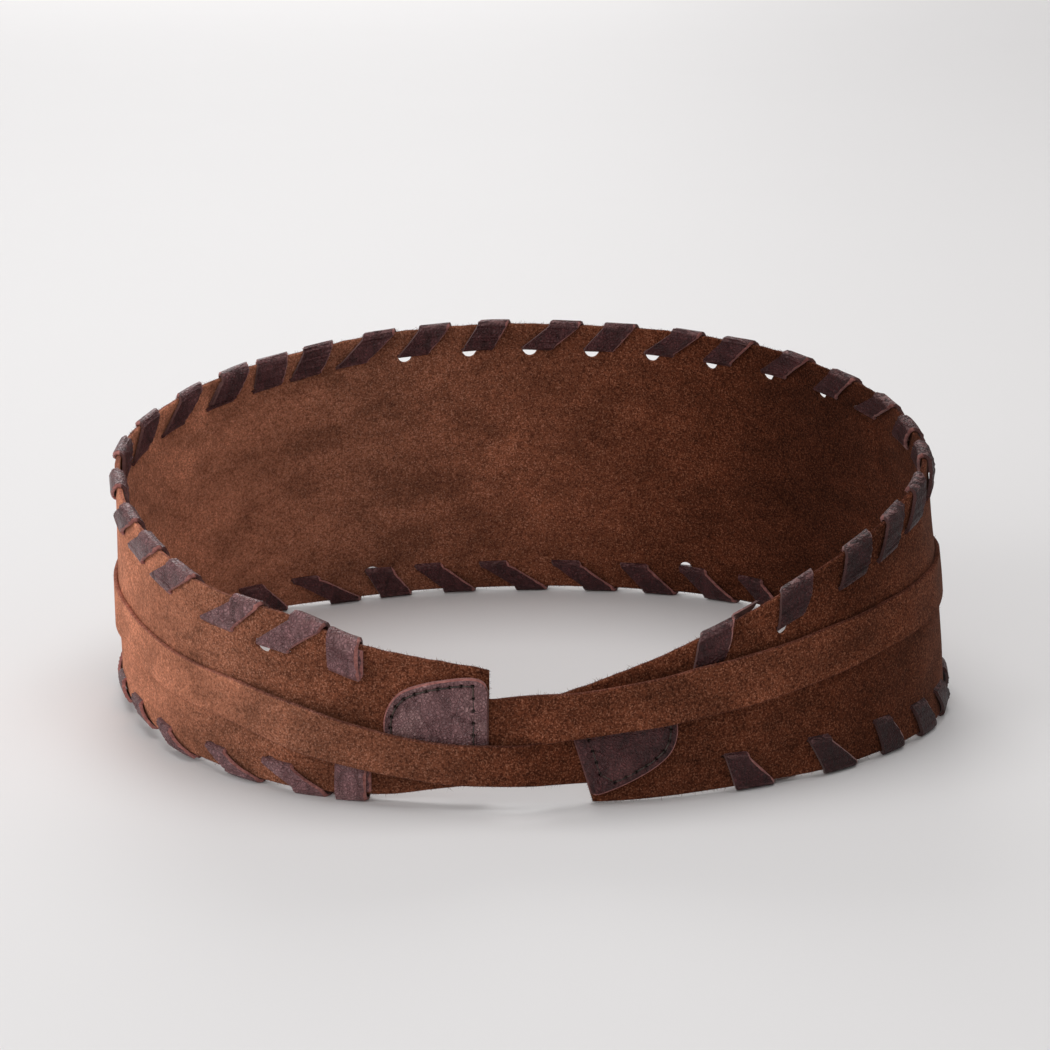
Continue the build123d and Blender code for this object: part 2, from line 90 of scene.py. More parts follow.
# By number of the stitch: shift of its hole, and how far the hole gapes (+ towards the right-hand end).
HOLE_SHIFT = {14: 2.6, 15: 3, 17: 2, 19: 2.3, 20: 1.8}
TOP_GAPS = {1: 0.7, 2: 0.35, 3: 0.5, 11: -0.3, 13: -0.9, 14: -1, 15: -1, 16: -1, 17: -1, 18: -1,
            19: -0.9, 20: -0.8, 21: -0.35, 28: 0.9, 29: 0.7}
BOTTOM_GAPS = {1: 0.6, 2: 0.4, 3: 0.35, 4: 0.3, 11: -0.3, 16: -0.7}
# Places where the lace crosses the edge, and (place, width at the edge, width at the hole) of the lace.
TOP_STITCHES = (
    -237, -228.5, -213, -192, -178, -164, -146, -129, -113, -96, -82, -71, -58, -41,
    -26, -10, 10, 25, 45, 61, 81, 99, 118, 132, 147, 165, 180, 195, 214, 235,
)
BOTTOM_STITCHES = (
    -238.5, -229, -211, -190, -172, -154, -137, -121, -104, -88, -72, -51, -37, -19,
    1, 20, 36.5, 54, 71.5, 88, 105, 121, 138, 155, 170, 185.5, 203, 226,
)
TOP_RUNGS = ((-213, 7, 9.6), (-195, 8.4, 8.8), (190, 8.4, 8.4), (214, 9.2, 7.6), (235, 8.6, 8))
BOTTOM_RUNGS = ((-229, 8.8, 6.6), (-200, 9.6, 6.2), (-150, 8.6, 7.8), (160, 8.6, 7.8),
                (188, 7.4, 5.6), (203, 10.2, 6), (226, 9.8, 5.8))
TOP_ADVANCE = ((-240, 9.4), (95, 9.2), (165, 6.5), (195, 2.6), (214, 1.6), (235, 1.9))
BOTTOM_ADVANCE = ((-211, 9.2), (-190, 7.4), (-150, 6.4), (-115, 9.2), (95, 9.2), (155, 6),
                  (185, 3.8), (203, 6.2), (226, 4.6))
TOP_DEPTHS = ((-237, 0.82), (-231, 0.95), (-222, 1), (-205, 0.92), (-185, 0.88), (-150, 0.8),
              (150, 0.76), (165, 0.76), (185, 0.84), (240, 0.8))
BOTTOM_DEPTHS = ((-234, 1), (-222, 0.62), (-202, 0.52), (-184, 0.38), (-146, 0.36),
                 (-110, 0.85), (160, 0.85), (200, 0.92), (235, 0.87))
JOIN_STITCH = 10
TAIL_BACKSTEP = 9.0

# --- end patches ---
PATCH_THICKNESS = 1.4
PATCH_OUTLINE = ((0.1, 8.4), (1.2, 10.5), (3.9, 11.35), (9, 10.95), (15, 9.8), (19.6, 7.8), (22.3, 4.4),
                 (23.2, 0))
SQUARE_CORNER = ((0.1, 10.6), (1.4, 11.4), (3.9, 11.45))
LEFT_PATCH_AT = (-268.8, 17.9, 0)
RIGHT_PATCH_AT = (267.3, 12.9, 16.8)
THREAD_INSET = 1.6
THREAD_PITCH = 2.5
THREAD_ROW = 3.4
THREAD_RADIUS = 0.19
THREAD_INNER_RADIUS = 0.15
THREAD_END_RADIUS = 0.11
TUBE_SIDES = 7

# --- tie straps: (distance along the loop, height of the middle, gap of the inner face from mid-band, width),
# with the thickness before the width at the root; tails: (distance, drop, width, thickness) ---
STRAP_WIDTH = 10.6
STRAP_THICKNESS = 1.05
LEFT_ROOT = (
    (-257.3, 19.5, 0.68, 0.56, 10.3), (-262.8, 19.5, 0.68, 0.56, 10.3), (-267.8, 19.2, 0.68, 0.56, 10.6),
    (-269.8, 19.1, 0.68, 0.56, 10.9), (-273.3, 19.4, 0.85, 0.95, 11.3),
)
RIGHT_ROOT = (
    (256.5, 10.4, 0.68, 0.56, 10.4), (261, 10.4, 0.68, 0.56, 10.4), (265, 10.3, 0.68, 0.56, 10.6),
    (269, 10.15, 0.68, 0.56, 10.7), (273, 10.1, 1.15, 0.95, 10.3),
)
LEFT_STRAP_RUN = (
    (277.6, 19.85, 1.2, 11.4), (271, 20.9, 2.5, 10.9), (262, 21.95, 2.6, 10.3), (246, 23.75, 2.6, 11.1),
    (238, 24.75, 2.1, 11.3), (226, 25.95, 1.9, 11.3), (213, 27.5, 1.2, 11.3), (199, 29.3, 0.68, 11.1),
    (185, 31.2, 0.63, 10.8), (165, 32.8, 0.63, 10.6), (130, 34.2, 0.63, 10.6), (90, 35, 0.63, 10.6),
    (50, 35.4, 0.63, 10.6), (24, 35.6, 0.8, 10.6),
)
RIGHT_STRAP_RUN = (
    (-277.6, 10.1, 2.55, 9.4), (-268, 10, 2.6, 9.3), (-258, 10.5, 2.65, 9.2), (-247, 12.1, 2.9, 9.3),
    (-238, 14, 2.9, 9.9), (-225, 16.6, 2.2, 10.7), (-212, 18.6, 1.2, 10.4), (-197, 19.8, 0.68, 10.2),
    (-180, 21.1, 0.63, 10.4), (-160, 22.6, 0.63, 10.6), (-130, 25.8, 0.63, 10.6),
    (-90, 30.5, 0.63, 10.6), (-50, 34.5, 0.63, 10.6), (-24, 35.6, 0.8, 10.6),
)
KNOT_HEIGHT = 30.0
KNOT_HALF_LENGTH = 8.0
KNOT_RADIUS = 1.55
KNOT_OFFSET = 4.5
BUNCH_RADIAL = 2.8
BUNCH_TANGENT = 4.2
TAIL_RUN = ((4, 3, 5.2, 3), (8.5, 6.5, 8.4, 1.8), (12, 11.5, 10.4, 1.2), (15, 18, 10.6, 1.2),
            (17.5, 25, 10.6, 1.2))

# --- painted light and shade along the loop, lighter towards the left-hand end and darker towards the right: on the suede partly from the brushing of its fibres, on the laces and patches only painted light: (distance along the loop, lightness) ---
OUTER_NAP_AND_PAINTED_LIGHT = ((-268, 1), (-255, 1.25), (-240, 1.4), (-225, 1.75), (-200, 2.4), (-190, 2.9), (-175, 4),
             (-150, 4.7), (-135, 3.2), (-115, 1.7), (0, 1.3), (150, 0.75), (172, 0.75), (195, 0.52),
             (225, 0.9), (271, 0.85))
INNER_NAP_AND_PAINTED_LIGHT = ((-268, 1.8), (-200, 2.6), (-150, 5), (-110, 4), (-60, 2.5), (0, 1.5), (50, 0.68), (90, 0.36),
             (130, 0.48), (170, 0.7), (200, 1.1), (271, 1.2))
OUTER_PAINTED_LIGHT = ((-268, 4.1), (-228, 4.1), (-150, 2.7), (150, 0.58), (200, 0.5), (245, 1.1), (271, 1.35))
INNER_PAINTED_LIGHT = ((-150, 1.8), (0, 1.1), (120, 0.6), (271, 0.5))
LEFT_STRAP_NAP_AND_PAINTED_LIGHT = ((-30, 1.2), (24, 1.2), (150, 0.75), (190, 0.85), (225, 1.15), (255, 1.15), (277, 1))
RIGHT_STRAP_NAP_AND_PAINTED_LIGHT = ((-278, 0.7), (-268, 1.1), (-258, 1.6), (-240, 1.9), (-220, 2.4), (-203, 3.4), (-188, 3.9),
             (-170, 4.7), (-150, 4.3), (-135, 3), (-115, 1.7), (-24, 1.3), (30, 1.2))

# --- loose fibres: thickness, depth of the roots, and number on each edge ---
BAND_FIBRE = 0.045
END_FIBRE = 0.035
STRAP_FIBRE = 0.032
LACE_FIBRE = 0.03
FIBRE_ROOT = 0.1
TOP_FIBRES = 9000
BOTTOM_FIBRES = 5000
END_FIBRES = 420
STRAP_FIBRES = 5200
LACE_FIBRES_PER_ROW = 3


# ---------------- the loop and its surface
def loop_point(phi):
    swell = sum(LOOP_COS[n] * np.cos(n * phi) + LOOP_SIN[n] * np.sin(n * phi) for n in range(7))
    radius = (1 + swell) / np.hypot(np.sin(phi) / LOOP_HALF_WIDTH, np.cos(phi) / LOOP_HALF_DEPTH)
    return np.stack([radius * np.sin(phi), radius * np.cos(phi)], -1)


ANGLES = np.linspace(-2 * pi, 2 * pi, 11521)
STEPS = np.linalg.norm(np.diff(loop_point(ANGLES), axis=0), axis=1)
ARCS = np.concatenate([[0.0], np.cumsum(STEPS)])
ARCS -= ARCS[len(ARCS) // 2]
PERIMETER = (ARCS[-1] - ARCS[0]) / 2


def along(profile, s):
    """Smooth monotone curve through (s, value) stations; held at its end values outside them."""
    x = np.array([p[0] for p in profile], float)
    y = np.array([p[1] for p in profile], float)
    s = np.clip(np.asarray(s, float), x[0], x[-1])
    slope = np.diff(y) / np.diff(x)
    product = slope[:-1] * slope[1:]
    total = slope[:-1] + slope[1:]
    inner = np.where(product > 0, 2 * product / np.where(total == 0, 1, total), 0.0)
    return hermite(x, y, np.concatenate([slope[:1], inner, slope[-1:]]), s)


def hermite(x, y, tangent, want):
    """Cubic curve through the values y at x, with the given tangents."""
    i = np.clip(np.searchsorted(x, want, side="right") - 1, 0, len(x) - 2)
    h = x[i + 1] - x[i]
    t = (want - x[i]) / h
    if y.ndim > 1:
        h, t = h[:, None], t[:, None]
    keep = y[i] * (1 + 2 * t) * (1 - t) ** 2 + y[i + 1] * t * t * (3 - 2 * t)
    return keep + tangent[i] * h * t * (1 - t) ** 2 - tangent[i + 1] * h * t * t * (1 - t)


def edge_height(s, upper):
    return along(TOP_EDGE if upper else BOTTOM_EDGE, s)


def waves(s, z, length, count, seed):
    """Sum of random waves between -1 and 1, about length mm long, which join up round the loop."""
    rng = np.random.default_rng(seed)
    total = 0.0
    for _ in range(count):
        angle = rng.normal(0.0, 0.5)
        size = length * rng.uniform(0.7, 1.6)
        phase = rng.uniform(0, 2 * pi)
        rounds = round(PERIMETER * cos(angle) / size)
        total = total + np.sin(2 * pi * (s * rounds / PERIMETER + z * sin(angle) / size) + phase)
    return total / count


def sag(s, z):
    """How far the soft leather stands out of its smooth curve at a place."""
    belly = 0.8 * np.exp(-((s - 145.0) / 42.0) ** 2 - ((z - 30.0) / 22.0) ** 2)
    return belly + 0.55 * waves(s, z, 46.0, 5, SEED) + 0.3 * waves(s, z, 21.0, 5, SEED + 1)


def outward(s):
    phi = np.interp(s, ARCS, ANGLES)
    step = loop_point(phi + 1e-4) - loop_point(phi - 1e-4)
    step /= np.linalg.norm(step, axis=-1, keepdims=True)
    return np.stack([-step[..., 1], step[..., 0]], -1)


def at(s, z, n):
    """Point at distance s along the loop, height z, and n outward from the middle of the band."""
    s, z, n = np.broadcast_arrays(np.asarray(s, float), np.asarray(z, float), np.asarray(n, float))
    phi = np.interp(s, ARCS, ANGLES)
    off = n + sag(s, z) + (LEAN_MEAN + LEAN_SIDE * np.sin(phi)) * z
    flat = loop_point(phi) + outward(s) * off[..., None] + np.array(ORIGIN_SHIFT)
    return np.concatenate([flat, z[..., None]], -1)


# ---------------- meshes
class Builder:
    """Collects vertices and faces of one piece, with a material number and named values for each vertex."""

    def __init__(self):
        self.points = []
        self.faces = []
        self.kinds = []
        self.values = {}
        self.count = 0

    def add(self, points, **values):
        """Adds points of any grid shape and returns their numbers in the same shape."""
        shape = points.shape[:-1]
        flat = points.reshape(-1, 3)
        first = self.count
        self.points.append(flat)
        self.count += len(flat)
        for name in set(values) | set(self.values):
            row = self.values.setdefault(name, [np.zeros(first)] if first else [])
            value = values.get(name, 0.0)
            row.append(np.broadcast_to(np.asarray(value, float), shape).reshape(-1).copy())
        return np.arange(first, self.count).reshape(shape)

    def quads(self, a, b, c, d, kind=0):
        block = np.stack([x.reshape(-1) for x in (a, b, c, d)], -1)
        self.faces.extend(block.tolist())
        self.kinds.extend([kind] * len(block))

    def grid(self, numbers, kind=0, wrap=False):
        """Quads over a grid of vertex numbers; wrap joins the last column to the first."""
        if wrap:
            numbers = np.concatenate([numbers, numbers[:, :1]], 1)
        kinds = kind if np.ndim(kind) else np.full(numbers.shape[1] - 1, kind)
        for j, one in enumerate(kinds):
            left, right = numbers[:, j], numbers[:, j + 1]
            self.quads(left[:-1], right[:-1], right[1:], left[1:], int(one))

    def cap(self, ring, kind=0):
        self.faces.append([int(i) for i in ring])
        self.kinds.append(kind)

    def needles(self, roots, tips, width, kind=0, **values):
        """Thin three-sided needles, for loose fibres."""
        run = tips - roots
        side = np.cross(run, np.array([0.31, 0.52, 0.79]))
        side *= width / np.linalg.norm(side, axis=1, keepdims=True)
        other = np.cross(run, side)
        other *= width / np.linalg.norm(other, axis=1, keepdims=True)
        corners = np.stack([roots + side, roots - side / 2 + other, roots - side / 2 - other, tips], 1)
        shades = {name: np.broadcast_to(v, len(roots))[:, None] for name, v in values.items()}
        ids = self.add(corners, **shades)
        for tri in ((0, 1, 3), (1, 2, 3), (2, 0, 3), (2, 1, 0)):
            self.faces.extend(ids[:, tri].tolist())
            self.kinds.extend([kind] * len(ids))

    def finish(self, name, materials, crease=50.0):
        mesh = bpy.data.meshes.new(name)
        points = np.concatenate(self.points) * MM
        mesh.from_pydata(points.tolist(), [], self.faces)
        for material in materials:
            mesh.materials.append(material)
        mesh.polygons.foreach_set("material_index", np.array(self.kinds, np.int32))
        mesh.polygons.foreach_set("use_smooth", np.ones(len(self.faces), bool))
        for label, rows in self.values.items():
            layer = mesh.attributes.new(label, "FLOAT", "POINT")
            layer.data.foreach_set("value", np.concatenate(rows).astype(np.float32))
        mesh.validate()
        mesh.set_sharp_from_angle(angle=radians(crease))
        mesh.update()
        piece = bpy.data.objects.new(name, mesh)
        bpy.context.scene.collection.objects.link(piece)
        return piece


# ---------------- suede band
def lace_advance(s, upper):
    """How far along the band the lace travels on the outer face between edge and hole."""
    return float(along(TOP_ADVANCE if upper else BOTTOM_ADVANCE, s))


def hole_stations(stitches, upper):
    """Hole under each stitch: the first wrap goes straight down, the others slant."""
    shift = HOLE_SHIFT if upper else {}
    return [s + (lace_advance(s, upper) + shift.get(k, 0.0) if k else 0.0) for k, s in enumerate(stitches)]


def rungs(stitch, upper):
    """Width of the lace along the edge and at the hole of a stitch."""
    table = TOP_RUNGS if upper else BOTTOM_RUNGS
    return [np.interp(stitch, [row[0] for row in table], [row[i] for row in table]) for i in (1, 2)]


def depth_share(s, upper):
    """Depth of the lace holes along the band, as a share of the usual depth."""
    return along(TOP_DEPTHS if upper else BOTTOM_DEPTHS, s)


def slant(s):
    """How far the foot of a band column stands back from its head, for the slanted right-hand end."""
    share = np.clip((s - SLANT_START) / (BAND_RIGHT_TOP - SLANT_START), 0.0, 1.0)
    return (BAND_RIGHT_TOP - BAND_RIGHT_BOTTOM) * share


def fill(limits, step):
    """Stations from the first limit to the last, through every limit, no more than step apart."""
    stations = [limits[0]]
    for a, b in zip(limits, limits[1:]):
        count = max(1, int(np.ceil((b - a) / step)))
        stations.extend(a + (b - a) * i / count for i in range(1, count + 1))
    return np.array(stations)


def slot_drop(across, gap):
    """Lower rim of a lace hole below its upper rim, for across from -1 to 1, with a gap beside the lace."""
    round_end = np.clip(1 - np.abs(across) ** 5, 0.02, 1.0) ** 0.5
    beside = np.clip(1 - ((across - np.sign(gap) * GAP_CENTRE) / GAP_HALF) ** 2, 0.0, 1.0) ** 0.5
    return SLOT_REST * round_end + abs(gap) * GAP_DEPTH * beside


EDGE_DEPTHS = (0.0, 0.2, 0.5, 1.0, 1.8, 2.8, 4.0, 5.2, 6.3, 7.2)
MIDDLE_ROWS = 56
LACED_DEPTH = 14.0
NAP_STEP = 0.65
EDGE_THINNING = 0.42
THIN_MARGIN = 0.45
LEAST_COLUMN = 0.25


def band_columns():
    """Columns of the band mesh and, for each lace hole, the columns at its two ends."""
    low_table = np.linspace(BAND_LEFT_END, BAND_RIGHT_TOP, 5401)
    feet = low_table - slant(low_table)
    ends = []
    for stitches, gaps, upper in ((TOP_STITCHES, TOP_GAPS, True), (BOTTOM_STITCHES, BOTTOM_GAPS, False)):
        for k, hole in enumerate(hole_stations(stitches, upper)):
            half = (rungs(stitches[k], upper)[1] if k else WRAP_RUNG) / 2 + SLOT_MARGIN
            a, b = hole - half, hole + half
            if not upper:
                a, b = np.interp([a, b], feet, low_table)
            ends.append((float(a), float(b), upper, gaps.get(k, 0.0)))
    limits = sorted({BAND_LEFT_END, BAND_RIGHT_TOP} | {a for a, b, *_ in ends} | {b for a, b, *_ in ends})
    joined = [limits[0]]
    for x in limits[1:]:
        if x - joined[-1] > LEAST_COLUMN:
            joined.append(x)
    columns = fill(joined, NAP_STEP)
    slots = []
    for a, b, upper, gap in ends:
        first, last = (int(np.abs(columns - x).argmin()) for x in (a, b))
        slots.append((first, last, upper, gap))
    return columns, slots


def depth_rows(columns, slots, upper):
    """Depth below one edge of every row in the laced margin, with the slot's rim shaped column by column."""
    rows = list(EDGE_DEPTHS) + [HOLE_DEPTH] * 4 + [LACED_DEPTH - 2.0, LACED_DEPTH]
    depth = np.repeat(np.array(rows)[:, None], len(columns), 1)
    first_rim = len(EDGE_DEPTHS)
    drop = np.full(len(columns), SLOT_LEAST)
    lift = np.zeros(len(columns))
    for first, last, is_upper, gap in slots:
        if is_upper != upper:
            continue
        span = columns[first:last + 1]
        across = 2 * (span - span[0]) / (span[-1] - span[0]) - 1
        drop[first:last + 1] = np.maximum(slot_drop(across, gap), SLOT_LEAST)
        lift[first:last + 1] = SLOT_LIFT * (1 - across ** 4)
    depth[first_rim] -= lift
    depth[first_rim + 1] = depth[first_rim] + (drop + lift) * 0.5
    depth[first_rim + 2] = HOLE_DEPTH + drop
    depth[first_rim + 3] = HOLE_DEPTH + drop + 0.6
    return depth * depth_share(columns, upper), first_rim


def suede_band():
    columns, slots = band_columns()
    feet = columns - slant(columns)
    high, low = edge_height(columns, True), edge_height(feet, False)
    rough = 0.16 * waves(columns, 0 * columns, 5.0, 6, SEED + 5)
    height = high - low
    top_depth, rim = depth_rows(columns, slots, True)
    bottom_depth, _ = depth_rows(columns, slots, False)
    squeeze = np.minimum(1.0, height / (2 * LACED_DEPTH + 4.0))
    top_z = high - top_depth * squeeze
    bottom_z = (low + bottom_depth * squeeze)[::-1]
    share = np.linspace(0, 1, MIDDLE_ROWS + 2)[1:-1, None]
    middle_z = top_z[-1] + (bottom_z[0] - top_z[-1]) * share
    z = np.concatenate([top_z, middle_z, bottom_z])
    z[0] += rough
    up = (z - low) / height
    s = feet + (columns - feet) * up
    from_edge = np.minimum(np.minimum(high - z, z - low), np.minimum(s - s[:, :1], s[:, -1:] - s))
    half = HALF_BAND * (1 - EDGE_THINNING * np.clip(1 - from_edge / THIN_MARGIN, 0, 1) ** 2)
    build = Builder()
    # lightness of each face: painted light and shade along the loop, partly from the brushing of the suede
    nap = nap_and_painted_light_of_band(s)
    outer = build.add(at(s, z, half), nap=nap[0])
    inner = build.add(at(s, z, -half), nap=nap[1])
    keep = np.ones((z.shape[0] - 1, z.shape[1] - 1), bool)
    for first, last, upper, _ in slots:
        row = rim if upper else z.shape[0] - rim - 3
        keep[row:row + 2, first:last] = False
    for numbers, flip in ((outer, True), (inner, False)):
        a, b, c, d = numbers[:-1, :-1], numbers[:-1, 1:], numbers[1:, 1:], numbers[1:, :-1]
        order = (a, d, c, b) if flip else (a, b, c, d)
        build.quads(*[x[keep] for x in order])
    wall_rims(build, keep, outer, inner)
    lines = np.stack([s, z])
    last_row, last_column = z.shape[0] - 1, z.shape[1] - 1
    for row, up_or_down, count in ((0, 1.0, TOP_FIBRES), (last_row, -1.0, BOTTOM_FIBRES)):
        fray(build, lines[:, row], (0.0, up_or_down), (0.6, 0, 0.5), count, BAND_FIBRE, SEED + 20 + row)
    for column, out in ((0, -1.0), (last_column, 1.0)):
        end = lines[:, :, column]
        fray(build, end, (out, 0.0), (0, 0.5, 0), END_FIBRES, END_FIBRE, SEED + 40 + column, 1.0)
    piece = build.finish("suede_band_skin", [SUEDE, SUEDE_CUT, SUEDE_PAINTED_LIGHT_RIM])
    return piece


def nap_and_painted_light_of_band(s):
    """Lightness of the suede on the outer and the inner face: painted light and shade along the loop, partly
    from the brushing of its fibres.
    """
    return tuple(np.interp(s, *zip(*profile)) for profile in (OUTER_NAP_AND_PAINTED_LIGHT, INNER_NAP_AND_PAINTED_LIGHT))


def leather_painted_light(s):
    """Painted light and shade for the laces and patches on the outer and the inner face; the right-hand half
    is darker.
    """
    return tuple(np.interp(s, *zip(*profile)) for profile in (OUTER_PAINTED_LIGHT, INNER_PAINTED_LIGHT))


def wall_rims(build, keep, outer, inner):
    """Walls between the two faces: the outer edges, and the rims of the lace holes in a lighter copy of the
    suede, as painted light.
    """
    rows, cols = keep.shape
    padded = np.zeros((rows + 2, cols + 2), bool)
    padded[1:-1, 1:-1] = keep
    inside = np.zeros((rows + 2, cols + 2), bool)
    inside[1:-1, 1:-1] = True
    i, j = np.nonzero(keep)
    sides = (
        ((-1, 0), (0, 0), (0, 1)),
        ((0, 1), (0, 1), (1, 1)),
        ((1, 0), (1, 1), (1, 0)),
        ((0, -1), (1, 0), (0, 0)),
    )
    for (di, dj), (ai, aj), (bi, bj) in sides:
        beside = i + 1 + di, j + 1 + dj
        # kind 2 gives the hole rims the lighter copy of the suede: painted light
        for kind, beyond in ((1, ~inside[beside]), (2, inside[beside])):
            open_side = ~padded[beside] & beyond
            p, q = i[open_side], j[open_side]
            a, b = (p + ai, q + aj), (p + bi, q + bj)
            build.quads(outer[a], outer[b], inner[b], inner[a], kind)


def fray(build, line, way, spread, count, width, seed, nap=None):
    """Loose fibres along a cut edge of the band; way and spread are along (s, z) and (s, z, n)."""
    rng = np.random.default_rng(seed)
    place = rng.uniform(0, line.shape[1] - 1, count)
    base = [np.interp(place, np.arange(line.shape[1]), row) - w * FIBRE_ROOT for row, w in zip(line, way)]
    base.append(rng.uniform(-0.4, 0.4, count))
    length = rng.gamma(2.0, 0.15, count)
    drift = [rng.normal(0, k, count) * length if k else 0.0 for k in spread]
    tips = [b + w * length + d for b, w, d in zip(base, (*way, 0.0), drift)]
    # the fibres take the painted light and shade of the band's outer face
    build.needles(at(*base), at(*tips), width, nap=nap_and_painted_light_of_band(base[0])[0] if nap is None else nap)


# ---------------- laces
FOLD_SHARE = 0.09
FOLD_STEPS = 10
RUN_STEPS = 12
LACE_ACROSS = 13
LACE_BOW = 0.16


class LacePath:
    """Rows of a lace: place along the band, height over the edge, offset, facing, width, fold and lift."""

    def __init__(self, upper, seed):
        self.upper = upper
        self.seed = seed
        self.rows = []
        self.rng = np.random.default_rng(seed)

    def row(self, s, v, n, facing, rung, fold=0.0, lift=0.0):
        self.rows.append((s, v, n, facing, rung, fold, lift))

    def height(self, s, v):
        """Height of a point v beyond the laced edge; a negative v is on the band."""
        return edge_height(s, self.upper) + (1 if self.upper else -1) * v

    def fold(self, s0, s1, over_edge, r0, r1, w0, w1):
        """Half turn over the edge, from inside to outside, or through the hole, from outside to inside."""
        centre = EDGE_FOLD if over_edge else HOLE_FOLD
        start = pi if over_edge else 0.0
        for i in range(FOLD_STEPS + 1):
            t = i / FOLD_STEPS
            angle = start - pi * t
            r = r0 + (r1 - r0) * t
            w = w0 + (w1 - w0) * t
            self.row(s0 + (s1 - s0) * t, centre + r * sin(angle), r * cos(angle), angle, w, sin(pi * t))

    def run(self, side, s0, s1, v0, v1, r0, r1, w0, w1, arch=0.2, lift=0.0):
        """Straight stretch on the outer face (side 1) or the inner face (side -1)."""
        facing = 0.0 if side > 0 else pi
        for i in range(1, RUN_STEPS):
            t = i / RUN_STEPS
            hump = sin(pi * t)
            n = side * (r0 + (r1 - r0) * t + arch * hump)
            w = w0 + (w1 - w0) * t
            self.row(s0 + (s1 - s0) * t, v0 + (v1 - v0) * t, n, facing, w, 0.0, lift * hump)


def lay_stitch(path, hole_before, stitch, hole):
    """Up the inner face from a hole, over the edge, down the outer face and through the next hole."""
    rng = path.rng
    w_edge, w_hole = rungs(stitch, path.upper)
    w_edge *= rng.uniform(0.96, 1.04)
    w_hole *= rng.uniform(0.98, 1.03)
    rise = stitch - hole_before
    fall = hole - stitch
    s0 = hole_before + rise * FOLD_SHARE
    s1 = stitch - rise * FOLD_SHARE
    s2 = stitch + fall * FOLD_SHARE
    s3 = hole - fall * FOLD_SHARE
    r = LACE_RADIUS
    path.run(-1, s0, s1, HOLE_FOLD, EDGE_FOLD, r, r, w_hole, w_edge, 0.15, rng.uniform(0.05, 0.5))
    path.fold(s1, s2, True, r, r, w_edge, w_edge)
    path.run(1, s2, s3, EDGE_FOLD, HOLE_FOLD, r, r, w_edge, w_hole, 0.2, rng.uniform(0.0, 0.6))
    path.fold(s3, hole + (hole - stitch) * 0.05, False, r, r, w_hole, w_hole)


def lay_first_wrap(path, stitches, holes):
    """Lace end tucked under its own doubled first wrap, then up to the second stitch."""
    s = stitches[0]
    r, thick = LACE_RADIUS, LACE_RADIUS + LAYER_STEP
    w = WRAP_RUNG
    under = s - 0.7
    path.row(under, -1.0, r, 0.0, w)
    path.run(1, under, under, -1.0, HOLE_FOLD, r, r, w, w, 0.0)
    path.fold(under, s, False, r, r, w, w)
    path.run(-1, s, s, HOLE_FOLD, EDGE_FOLD, r, r, w, w, 0.1)
    path.fold(s, s + 0.2, True, r, thick, w, w)
    path.run(1, s + 0.2, s, EDGE_FOLD, HOLE_FOLD, thick, thick, w, w, 0.25, 0.15)
    path.fold(s, s, False, thick, thick, w, w)
    w1 = LACE_RUNG - 1.0
    rise, fall = stitches[1] - s, holes[1] - stitches[1]
    s1, s2 = stitches[1] - rise * FOLD_SHARE, stitches[1] + fall * FOLD_SHARE
    path.run(-1, s, s1, HOLE_FOLD, EDGE_FOLD, thick, thick, w, w1, 0.1)
    path.fold(s1, s2, True, thick, r, w1, w1)
    s3 = holes[1] - fall * FOLD_SHARE
    path.run(1, s2, s3, EDGE_FOLD, HOLE_FOLD, r, r, w1, LACE_RUNG, 0.2, 0.2)
    path.fold(s3, holes[1] + 0.5, False, r, r, LACE_RUNG, LACE_RUNG)


def lay_last_tuck(path, stitches, holes):
    """Lace end led back inside behind the last stitch, its tip just over the rim."""
    r, thick = LACE_RADIUS, LACE_RADIUS + LAYER_STEP
    end = stitches[-1] - TAIL_BACKSTEP
    path.run(-1, holes[-1], end, HOLE_FOLD, 0.2, r, thick, LACE_RUNG - 1.0, LACE_RUNG - 2.0, 0.3)
    path.row(end, 0.4, -thick, pi, LACE_RUNG - 2.0)


